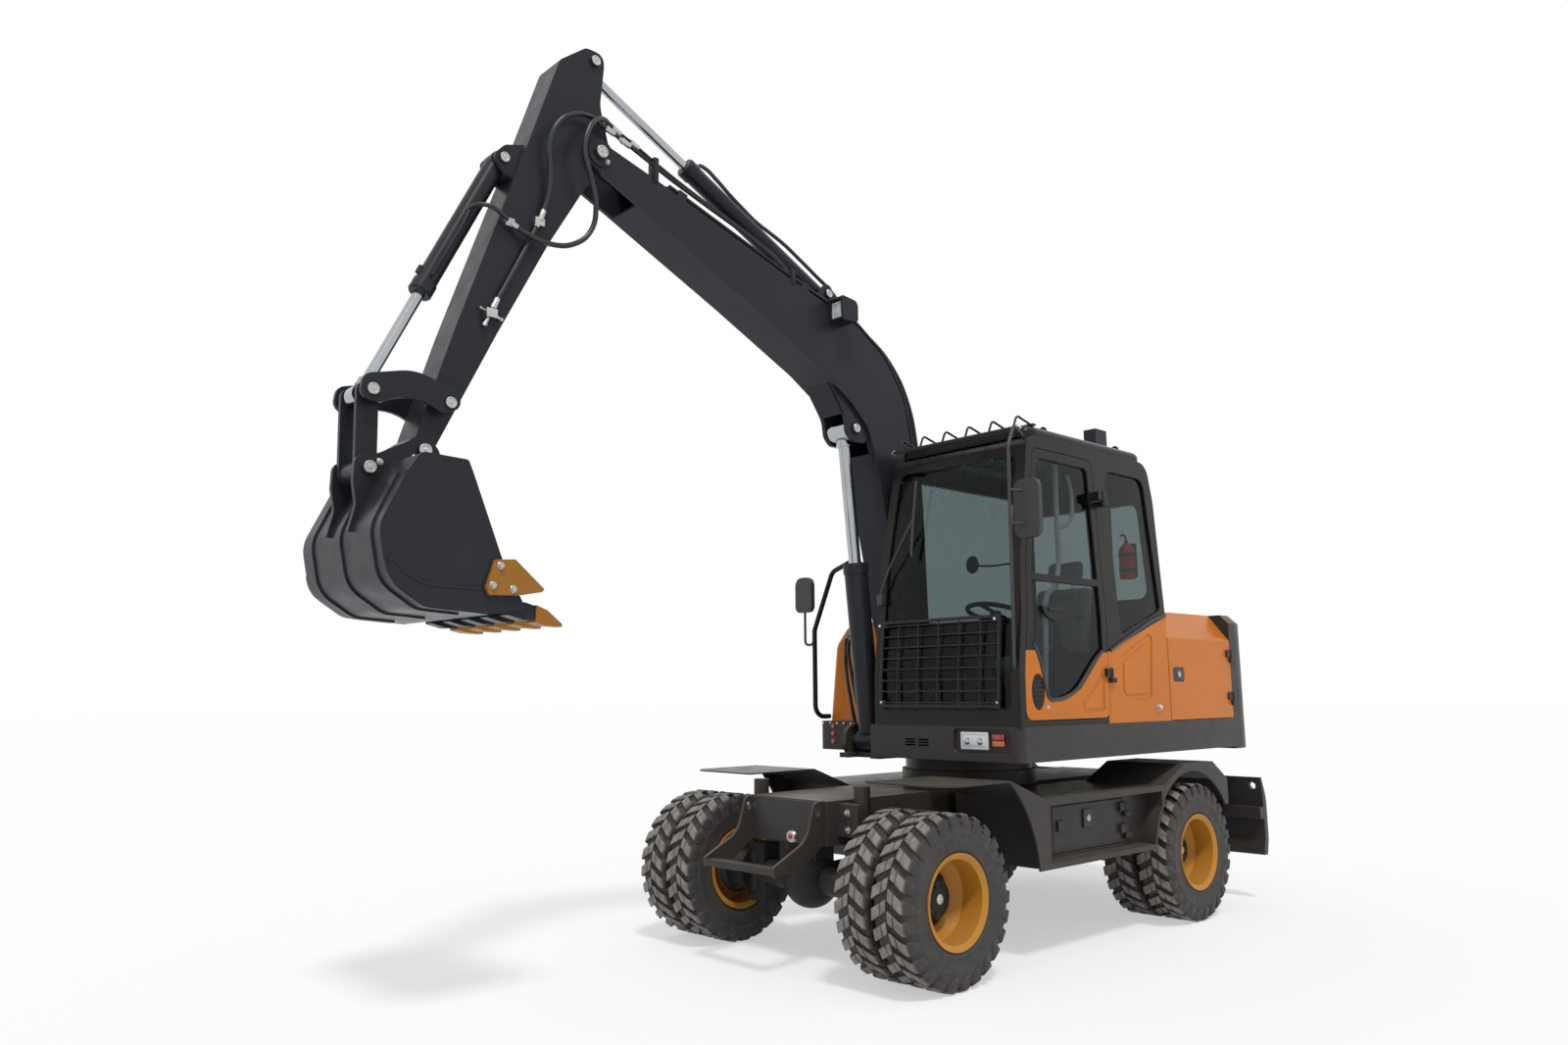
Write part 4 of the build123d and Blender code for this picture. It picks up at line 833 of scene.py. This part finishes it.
def fittings(name, body, ends):
    """Crimped ends, each at a point and along a direction."""
    places = [aimed(place(*point), direction, FITTING_SCALE) for point, direction in ends]
    settle(repeated(name, ferrule, places), body, zinc)


upper_loop = [
    (2800, -103, 4487), (2864, -100, 4508), (2925, -93, 4520), (2990, -84, 4516), (3065, -77, 4486),
    (3140, -80, 4420), (3187, -92, 4290), (3172, -105, 4150), (3176, -115, 4010), (3212, -122, 3880),
]
hose_between("arm_hose_upper", upper_loop)
lower_loop = [
    (2748, -120, 4512), (2805, -114, 4532), (2860, -90, 4536), (2925, -66, 4500), (2980, -52, 4420),
    (3002, -50, 4300), (2962, -50, 4160), (2925, -52, 4010), (2950, -58, 3865), (3045, -66, 3770),
    (3160, -78, 3738), (3280, -98, 3758), (3385, -118, 3803),
]
hose_between("arm_hose_lower", lower_loop)
curl_link = [
    (3385, -118, 3803), (3450, -100, 3832), (3520, -118, 3858), (3566, -165, 3852), (3572, -196, 3846),
]
hose_between("curl_hose", curl_link, LINE_R)
arm_line = [(3216, -127, 3866), (3290, -128, 3700), (3370, -128, 3530), (3452, -127, 3362)]
hose_on("arm_line", arm_line, "arm", LINE_R)
curl_pipe = [(3572, -182, 3838), (3600, -176, 3770), (3690, -176, 3582), (3752, -184, 3452)]
hose_on("curl_pipe", curl_pipe, "curl_barrel", CURL_PIPE_R, black)
near_pipe = [
    (1430, -128, 4022), (1490, -128, 4046), (1570, -128, 4092), (1670, -127, 4136), (2170, -127, 4294),
    (2420, -124, 4370), (2560, -114, 4413), (2700, -106, 4456), (2806, -103, 4489),
]
hose_on("boom_pipe_near", near_pipe, "boom", PIPE_R, black)
far_pipe = [
    (1380, -152, 4016), (1440, -152, 4052), (1530, -152, 4112), (1640, -152, 4160), (2124, -152, 4315),
    (2344, -148, 4384), (2500, -136, 4432), (2640, -124, 4478), (2754, -120, 4514),
]
hose_on("boom_pipe_far", far_pipe, "boom", PIPE_R, black)
pipe_clamps = [
    milled("pipe_clamp", place(2478, -166, 4300), place(2512, -104, 4446), CLAMP_ROUND),
    milled("pipe_clamp", place(1424, -170, 3970), place(1458, -110, 4062), CLAMP_ROUND),
]
settle(joined("boom_pipe_clamps", pipe_clamps), "boom", black)
fittings("boom_hose_ends", "boom", [
    ((2806, -103, 4489), (0.95, 0, 0.3)), ((2754, -120, 4514), (0.95, 0, 0.33)),
    ((2700, -106, 4456), (0.95, 0, 0.3)), ((2630, -125, 4475), (0.95, 0, 0.32)),
])
fittings("arm_hose_ends", "arm", [
    ((3204, -120, 3900), (0.3, -0.1, -1)), ((3368, -114, 3796), (1, -0.1, 0.4)),
    ((3224, -127, 3848), (-0.42, 0, 0.9)), ((3446, -127, 3374), (0.42, 0, -0.9)),
])

junction = milled("arm_junction", place(3190, -146, 3836), place(3246, -112, 3880), VALVE_ROUND)
tee = milled("arm_tee", place(3440, -146, 3290), place(3500, -108, 3336), VALVE_ROUND)
port = milled("arm_port", place(3362, -146, 3782), place(3412, -108, 3826), VALVE_ROUND)
stud = turned("tee_stud", [(0, 60), (11, 60), (13, 57), (13, 40), (9, 38), (9, 0), (0, 0)], 6)
plugs = repeated("tee_plugs", stud, [
    aimed(place(3480, -127, 3296), (0.42, 0, -0.9)), aimed(place(3444, -127, 3306), (-0.9, 0, -0.3), 0.7),
    aimed(place(3496, -127, 3322), (0.95, 0, 0.3), 0.6),
])
settle(joined("arm_valve", [junction, tee, port, plugs]), "arm", zinc)
put_away(stud)
print("hoses over the joint")

# %% [markdown]
# More hoses come up behind the cab and arch over the boom's bend, away from the steel, down to clamps on
# its back. They follow the boom all the way down to its foot, where they sway into the deck. The lift and
# crowd cylinders have hoses of their own, which run to their barrels.

# %% Hoses up the boom
CLIMB_Y = (-205, -240, -275, -310)
CLIMB_LEAN = 14
FEED_Y = (-436, -462)
STRAP_ROUND = 0.005
for k, y in enumerate(CLIMB_Y):
    lean = CLIMB_LEAN * (k % 2)
    climb = [
        (1330, y, 3984), (1090, y, 3925), (880, y, 3880 + lean), (640, y, 3800 + lean), (430, y, 3650 + lean),
        (280 - lean, y, 3430), (205 - lean, y, 3160), (175 - lean, y, 2860), (160 - lean, y, 2540),
        (150, y, 2220), (135, y, 1900), (95, y, 1620), (40, y, 1420), (0, y, 1268),
    ]
    hose_between("boom_hose_%d" % k, climb, THIN_HOSE_R)
straps = []
for x, z in ((1310, 3990), (1120, 3936)):
    straps.append(milled("strap", place(x - 14, -330, z - 24), place(x + 14, -185, z + 18), STRAP_ROUND))
settle(joined("boom_hose_straps", straps), "boom", black)

for k, y in enumerate(FEED_Y):
    feed = [
        (560 + 30 * k, y, 1262), (600 + 30 * k, y, 1420), (640 + 20 * k, y - 6, 1600), (668, y - 2, 1740),
        (700, y + 50, 1826), (728, -352, 1838 - 30 * k), (733, -318, 1836 - 30 * k),
    ]
    hose_between(
        "lift_hose_%d" % k, feed, THIN_HOSE_R)

CROWD_TAIL = Vector((1085, 0, 4005))
CROWD_EYE = Vector((2890, 0, 4885))
along = (CROWD_EYE - CROWD_TAIL).normalized()
outward = Vector((-along.z, 0, along.x))
beside_barrel = [
    (1146, 48), (1148, 84), (1112, 104), (1000, 104), (880, 92), (750, 86), (657, 84), (515, 102), (395, 116),
    (231, 117), (81, 115), (-60, 112),
]
on_barrel = [CROWD_TAIL + along * far + outward * off for far, off in beside_barrel]
crowd_feed = [(p.x, BOOM_Y, p.z) for p in on_barrel]
crowd_feed += [(912, -256, 4030), (882, -257, 3975), (878, -257, 3915)]
hose_between(
    "crowd_hose", crowd_feed, THIN_HOSE_R)
hose_clamp = milled("crowd_hose_clamp", place(855, -330, 3855), place(905, -185, 3925), CLAMP_ROUND)
settle(hose_clamp, "boom", black)
print("boom, lift and crowd hoses")

# %% [markdown]
# The driver's seat is soft. Its cushion and back start as rounded blocks, are remeshed to an even net,
# and are blown up a little as cloth, so that they crown and their sides pull in. Sewn channels are then
# pressed in. Below them is a rubber bellows, cut across and drawn in at its folds, and two bright posts
# carry the headrest.

# %% Seat
PAD_ROUND = 0.045
PAD_NET = 0.010
PAD_PRESSURE = 4
PAD_STEPS = 20
PAD_EDGE = 80
SEAT_SWELL = 0.016
HEAD_SWELL = 0.010
SIDE_SEAMS = (0.36, 0.62)
CUSHION_SEAMS = (-1.22, -1.06)
BACK_SEAMS = (0.16, 0.32, 0.46)
SEAM_HALF = 0.012
SIDE_SEAM_DEPTH = 0.012
CROSS_SEAM_DEPTH = 0.008
RECLINE = math.radians(-9.3)
FOLDS = (1.36, 1.40, 1.44, 1.48, 1.52)
DRAWN_IN = (1.40, 1.48)
DRAWN_TO = (0.88, 0.86, 1)
POST_X = -0.006
POST_R = 0.006


def padded_block(name, low, high, swell):
    """A stuffed block: remeshed, blown up as cloth and held to a small swell."""
    piece = milled(name, low, high, PAD_ROUND, 3)
    hold(piece)
    bpy.ops.object.modifier_add(type="REMESH")
    piece.modifiers[-1].mode = "VOXEL"
    piece.modifiers[-1].voxel_size = PAD_NET
    bpy.ops.object.modifier_apply(modifier=piece.modifiers[-1].name)
    before = [point.co.copy() for point in piece.data.vertices]
    bpy.ops.object.modifier_add(type="CLOTH")
    settings = piece.modifiers[-1].settings
    settings.use_pressure = True
    settings.uniform_pressure_force = PAD_PRESSURE
    settings.effector_weights.gravity = 0
    for step in range(1, PAD_STEPS + 1):
        bpy.context.scene.frame_set(step)
    bpy.ops.object.modifier_apply(modifier=piece.modifiers[-1].name)
    bpy.context.scene.frame_set(1)
    for point, old in zip(piece.data.vertices, before):
        move = point.co - old
        if move.length > swell:
            point.co = old + move.normalized() * swell
    return piece


def sewn(piece, axis, across_axis, lines, depth):
    """Presses channels into the face of a pad, along lines across an axis."""
    for point in piece.data.vertices:
        if point.normal[across_axis] > 0.5:
            for line in lines:
                near = (point.co[axis] - line) / SEAM_HALF
                point.co[across_axis] -= depth * math.exp(-near * near)


cushion = padded_block("seat_cushion", place(-372, 268, 1575), place(108, 712, 1668), SEAT_SWELL)
sewn(cushion, 1, 2, SIDE_SEAMS, SIDE_SEAM_DEPTH)
sewn(cushion, 0, 2, CUSHION_SEAMS, CROSS_SEAM_DEPTH)
back = padded_block("seat_back", (-0.050, 0.272, 0.0), (0.038, 0.708, 0.560), SEAT_SWELL)
sewn(back, 1, 0, SIDE_SEAMS, SIDE_SEAM_DEPTH)
sewn(back, 2, 0, BACK_SEAMS, CROSS_SEAM_DEPTH)
head = padded_block("seat_head", (-0.040, 0.355, 0.585), (0.028, 0.625, 0.735), HEAD_SWELL)
recline = Matrix.Translation(place(-368, 0, 1600)) @ Matrix.Rotation(RECLINE, 4, "Y")
for pad in (back, head):
    pad.data.transform(recline)
for pad in (cushion, back, head):
    hold(pad)
    bpy.ops.object.modifier_add(type="SUBSURF")
    pad.modifiers[-1].levels = 1
    pad.modifiers[-1].render_levels = 1
    bpy.ops.object.modifier_apply(modifier=pad.modifiers[-1].name)
    settle(pad, "upper", cloth, PAD_EDGE)
    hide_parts("seat")

base = milled("seat_base", place(-340, 330, 1312), place(60, 650, 1562), 0.02, 3)
hold(base)
bpy.ops.object.mode_set(mode="EDIT")
for fold_z in FOLDS:
    bpy.ops.mesh.select_all(action="SELECT")
    bpy.ops.mesh.bisect(plane_co=(0, 0, fold_z), plane_no=(0, 0, 1))
pick(base, "VERT", lambda point: any(abs(point.co.z - z) < 2 * NEAR for z in DRAWN_IN))
bpy.ops.transform.resize(value=DRAWN_TO)
bpy.ops.object.mode_set(mode="OBJECT")
settle(base, "upper", plastic)
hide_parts("seat")
posts = []
for y in (0.430, 0.550):
    ends = [recline @ Vector((POST_X, y, z)) for z in (0.53, 0.60)]
    posts.append(bent("head_post", ends, POST_R))
settle(joined("head_posts", posts), "upper", chrome, ROUND_BAR)
print("seat points", len(cushion.data.vertices), len(back.data.vertices))

# %% [markdown]
# Behind the glass there is more: a grab pole by the door, levers with knobs, pedals, a red extinguisher
# on the rear post, and a small round mirror. A wiper lies on the windscreen. They are simple turned and
# bent pieces, but the cab looks empty without them.

# %% Cab fittings
UPWARD = (0, 0, 1)
FORWARD = (1, 0, 0)
BOTTLE_X = -610
BOTTLE_Y = 878
LEVER_Y = (130, 800)
PEDAL_Y = (400, 560)
POLE_R = 0.016
LOOP_R = 0.012
TRIGGER_R = 0.007
PEDAL_R = 0.010
MIRROR_ARM_R = 0.006
WIPER_ARM_R = 0.007
WIPER_BLADE_R = 0.009

pole = [
    (168, 872, 2900), (178, 872, 2500), (190, 872, 2180), (240, 872, 2090), (318, 872, 2020),
    (345, 872, 1800), (372, 872, 1400), (376, 872, 1312),
]
hose_on("grab_pole", pole, "upper", POLE_R, grey_enamel)
loop = [(60, 885, 2790), (20, 885, 2650), (60, 885, 2500), (178, 874, 2440)]
hose_on("grab_loop", loop, "upper", LOOP_R, grey_enamel)

bottle = turned("bottle", [
    (0, 262), (10, 262), (14, 255), (14, 236), (22, 232), (40, 214), (50, 196), (52, 180), (52, 12), (48, 3),
    (0, 0),
], 24)
stood = repeated("extinguisher", bottle, [aimed(place(BOTTLE_X, BOTTLE_Y, 2180), UPWARD)])
settle(stood, "upper", signal_red, SOFT_EDGE)
band = turned("band", [(52, 0), (55, 0), (55, 22), (52, 22), (52, 0)], 24)
bands = [aimed(place(BOTTLE_X, BOTTLE_Y, z), UPWARD) for z in (2230, 2330)]
settle(repeated("extinguisher_bands", band, bands), "upper", cast, SOFT_EDGE)
trigger = [(BOTTLE_X + far, BOTTLE_Y, z) for far, z in ((0, 2440), (25, 2470), (65, 2462))]
hose_on("extinguisher_lever", trigger, "upper", TRIGGER_R, cast)
bracket = milled("extinguisher_bracket", place(-690, 850, 2200), place(-655, 906, 2420), 0.004)
settle(bracket, "upper", cast)

knob = turned("knob", [
    (0, 96), (14, 94), (22, 84), (25, 66), (22, 46), (15, 30), (12, 14), (14, 0), (0, 0),
], 18)
gaiter = turned("gaiter", [
    (0, 62), (20, 62), (26, 54), (22, 48), (34, 40), (29, 33), (44, 24), (38, 16), (54, 6), (54, 0), (0, 0),
], 20)
levers = [aimed(place(128, y, 1818), (0.14, 0, 1)) for y in LEVER_Y]
boots = [aimed(place(110, y, 1700), (0.08, 0, 1)) for y in LEVER_Y]
lever_knobs = repeated("lever_knobs", knob, levers)
lever_boots = repeated("lever_boots", gaiter, boots)
settle(joined("levers", [lever_knobs, lever_boots]), "upper", plastic, SOFT_EDGE)
pedals = []
for y in PEDAL_Y:
    rod = [place(545, y, 1320), place(560, y, 1450), place(540, y, 1620)]
    pedals.append(bent("pedal_rod", rod, PEDAL_R))
    pedals.append(milled("pedal_pad", place(536, y - 40, 1334), place(556, y + 40, 1420), 0.006))
settle(joined("pedals", pedals), "upper", cast, SOFT_EDGE)

disc = turned("inside_mirror_head", [(0, 14), (40, 13), (52, 8), (54, 3), (54, 0), (50, -2), (0, -2)], 28)
inside_mirror = repeated("inside_mirror", disc, [aimed(place(610, 560, 2218), (1, -0.2, 0))])
settle(inside_mirror, "upper", plastic, SOFT_EDGE)
mirror_arm = [(622, 572, 2214), (640, 700, 2196), (668, 930, 2196)]
hose_on("inside_mirror_arm", mirror_arm, "upper", MIRROR_ARM_R, cast)

arm_path = [(806, -24, 2052), (800, 24, 2170), (770, 120, 2360), (742, 205, 2520)]
wiper_arm = bent("wiper_arm", [place(*p) for p in arm_path], WIPER_ARM_R)
blade_path = [(777, 218, 2290), (750, 214, 2480), (722, 211, 2640), (700, 208, 2770)]
wiper_blade = bent("wiper_blade", [place(*p) for p in blade_path], WIPER_BLADE_R)
motor = milled("wiper_motor", place(770, -42, 2000), place(818, 6, 2070), 0.008)
settle(joined("wiper", [wiper_arm, wiper_blade, motor]), "upper", plastic, SOFT_EDGE)
put_away(bottle, band, knob, gaiter, disc)
print("cab fittings")

# %% [markdown]
# Rubber seals run along the lower edge of the door window and the quarter window, where the dark glass
# meets the orange panels. Each is a thin rounded bead laid along the edge, bent as a hose is.

# %% Window seals
DOOR_FACE = 1026
QUARTER_FACE = 1033
DOOR_SEAL_R = 0.012
QUARTER_SEAL_R = 0.009
door_edge = [
    (700, 1728), (664, 1676), (632, 1604), (600, 1496), (566, 1424), (500, 1416), (402, 1428), (276, 1476),
    (156, 1570), (58, 1652), (-8, 1697),
]
hose_on("door_seal", [(x, DOOR_FACE, z) for x, z in door_edge], "cab_door", DOOR_SEAL_R)
quarter_edge = [(-92, 1704), (-200, 1748), (-420, 1834), (-640, 1914), (-786, 1944)]
hose_on("quarter_seal", [(x, QUARTER_FACE, z) for x, z in quarter_edge], "upper", QUARTER_SEAL_R)
print("window seals")

# %% [markdown]
# Lamps have a lens in a dark bezel. The front lamp is a pressed block whose face is inset and hollowed
# like a reflector, the turn signal is half red and half amber, and the boom lamp has a bright square
# face. The tail lamps are round domes, turned once and set on the counterweight's slanting corners.

# %% Lamps
LENS_RIM = 0.006
LENS_SLOPE = 0.012
LENS_CROWN = 1.4
DEEP_FACE = 0.004
FLAT_FACE = 0.002
LAMP_BACK = 826
TAIL_X = -2066
TAIL_Y = 742
TAIL_LOW = 1290
TAIL_TOP = 1415
TAIL_SLANT = (-0.905, 0.426)


def lens_finish(name, colour, roughness, ribs):
    """Moulded lens plastic with fine upright ribs."""
    material, tree, shader = new_material(name)
    wave = tree.nodes.new("ShaderNodeTexWave")
    wave.bands_direction = "Y"
    wave.inputs["Scale"].default_value = ribs
    join(tree, own_metres(tree), wave.inputs["Vector"])
    tone = mixed(tree, wave.outputs["Fac"], shade(colour, 0.8), shade(colour, 1.1))
    join(tree, tone, shader.inputs["Base Color"])
    shader.inputs["Roughness"].default_value = roughness
    shader.inputs["Coat Weight"].default_value = 0.6
    rippled(tree, shader, wave.outputs["Fac"], 0.3, 0.002)
    return material


clear_lens = lens_finish("clear_lens", (0.70, 0.73, 0.75, 1), 0.12, 30.0)
red_lens = lens_finish("red_lens", (0.42, 0.022, 0.012, 1), 0.15, 40.0)
amber_lens = lens_finish("amber_lens", (0.62, 0.13, 0.018, 1), 0.15, 40.0)


def lamp_block(name, low, high, depth, finish, body):
    """A lamp's lens: a rounded block with a raised rim round a hollowed face that looks along +X."""
    piece = milled(name, low, high, LENS_RIM, 3)
    pick(piece, "FACE", lambda face: face.normal.x > 0.99 and face.area > 0.0005)
    bpy.ops.mesh.inset(thickness=LENS_RIM)
    bpy.ops.mesh.extrude_region_move(TRANSFORM_OT_translate={"value": (-depth, 0, 0)})
    bpy.ops.mesh.inset(thickness=LENS_SLOPE)
    bpy.ops.transform.translate(value=(depth * LENS_CROWN, 0, 0))
    bpy.ops.object.mode_set(mode="OBJECT")
    return settle(piece, body, finish)


head_lamp = lamp_block(
    "head_lamp", place(LAMP_BACK, 606, 1139), place(842, 798, 1238), DEEP_FACE, clear_lens, "upper")
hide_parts("lamps")
lamp_block(
    "turn_lamp_top", place(LAMP_BACK, 826, 1193), place(840, 905, 1227), FLAT_FACE, red_lens, "upper")
lamp_block(
    "turn_lamp_low", place(LAMP_BACK, 826, 1158), place(840, 905, 1191), FLAT_FACE, amber_lens, "upper")
lamp_block(
    "boom_lamp_lens", place(1106, -101, 3808), place(1119, -9, 3916), DEEP_FACE, clear_lens, "boom")
reflector = turned("reflector", [(0, 9), (12, 9), (15, 7), (17, 5), (17, 0), (0, 0)], 20)
reflectors = [aimed(place(365, -885, z), FORWARD) for z in (1131, 1183, 1233)]
settle(repeated("side_reflectors", reflector, reflectors), "upper", red_lens, SOFT_EDGE)
bulb = turned("bulb", [(0, 5), (20, 4), (26, 0), (0, 0)], 20)
bulbs = [aimed(place(841, y, 1188), FORWARD) for y in (655, 745)]
settle(repeated("head_lamp_bulbs", bulb, bulbs), "upper", chrome, SOFT_EDGE)

bezel = turned("bezel", [(0, 3), (42, 3), (44, 9), (50, 9), (54, 6), (55, -2), (0, -2)], 32)
dome = turned("dome", [(0, 12), (18, 11), (32, 8.5), (40, 5), (42, 2), (0, 2)], 32)


def tail_seats(heights):
    """Places on the counterweight's two slanting corners."""
    rearward, aside = TAIL_SLANT
    seats = []
    for way in (-1, 1):
        seats += [aimed(place(TAIL_X, way * TAIL_Y, z), (rearward, way * aside, 0)) for z in heights]
    return seats


settle(repeated("tail_lamp_bezels", bezel, tail_seats([TAIL_LOW, TAIL_TOP])), "upper", plastic, SOFT_EDGE)
settle(repeated("tail_lamps_low", dome, tail_seats([TAIL_LOW])), "upper", red_lens, SOFT_EDGE)
settle(repeated("tail_lamps_top", dome, tail_seats([TAIL_TOP])), "upper", amber_lens, SOFT_EDGE)
put_away(reflector, bulb, bezel, dome)
print("lamps")

# %% [markdown]
# Mirrors have a bright face towards the driver, doors have locks on dark plates, and panels have bolts.
# They are small, but the eye finds them at once on a real machine. The same nut that holds the wheels
# serves again, at other scales.

# %% Mirror faces, locks and bolts
FACE_ROUND = 0.0015
left_face = milled("mirror_face_left", place(735.5, 998, 2334), place(739, 1142, 2640), FACE_ROUND, 1)
right_face = milled("mirror_face_right", place(432.5, -1138, 2046), place(436, -997, 2264), FACE_ROUND, 1)
settle(joined("mirror_faces", [left_face, right_face]), "upper", chrome)

PLATE_ROUND = 0.004
LOCK_SCALE = 1.1
LOCKS = {
    "door": ("side_door_", (-988, 1522), (-851, 1607), 1025.5, 6.5, (-920, 1031, 1565)),
    "box": ("toolbox_door_", (34, 670), (124, 774), 927, 7, (79, 933.5, 722)),
}
lock = turned("lock", [(0, 7), (4, 7), (5, 4), (11, 4), (13, 6), (17, 5), (18, 0), (0, 0)], 20)
for side, way in (("left", 1), ("right", -1)):
    for name, (door, (x0, z0), (x1, z1), y, half, (lock_x, lock_y, lock_z)) in LOCKS.items():
        low = place(x0, way * y - half, z0)
        high = place(x1, way * y + half, z1)
        settle(milled(name + "_lock_plate_" + side, low, high, PLATE_ROUND), door + side, plastic)
        seat = spot(place(lock_x, way * lock_y, lock_z), way, LOCK_SCALE)
        settle(repeated(name + "_lock_" + side, lock, [seat]), door + side, zinc)

BOLTS = {
    "panel_bolts": ("upper", [spot(place(-641, 1030, 1356), 1, 1.1)]),
    "door_bolts": ("cab_door", [spot(place(587, 1030, 1372), 1, 0.6)]),
    "guard_bolts": (
        "upper", [aimed(place(855, y, z), (1, 0, 0.07), 0.45) for y in (16, 884) for z in (1402, 1868)]),
    "deck_bolts": ("upper", [aimed(place(366, y, 1254), FORWARD, 0.4) for y in range(-980, -440, 66)]),
    "rack_end_bolts": (
        "upper", [aimed(place(668, y, 2987), (0, way, 0), 0.9) for y, way in ((6, -1), (966, 1))]),
    "frame_bolts": (
        "carriage", [aimed(place(1560, y, z), FORWARD, 0.9) for y in (-395, 395) for z in (735, 825)]),
}
for name, (body, seats) in BOLTS.items():
    settle(repeated(name, nut, seats), body, zinc)

plug_ring = turned("plug_ring", [(0, 12), (16, 12), (18, 16), (30, 16), (33, 12), (36, 0), (0, 0)], 24)
plug_face = turned("plug_face", [(0, 20), (9, 19), (12, 16), (12, 10), (0, 10)], 20)
plug_seat = aimed(place(1658, 66, 685), FORWARD)
settle(repeated("front_plug", plug_ring, [plug_seat]), "carriage", zinc)
settle(repeated("front_plug_cap", plug_face, [plug_seat]), "carriage", signal_red)
lift_plugs = [aimed(place(-1900, y, 1983), UPWARD, 1.4) for y in (-520, 520)]
settle(repeated("lift_plugs", plug_ring, lift_plugs), "upper", cast)
put_away(lock, plug_ring, plug_face, nut, cap, pin_end, ferrule)
print("locks and bolts")
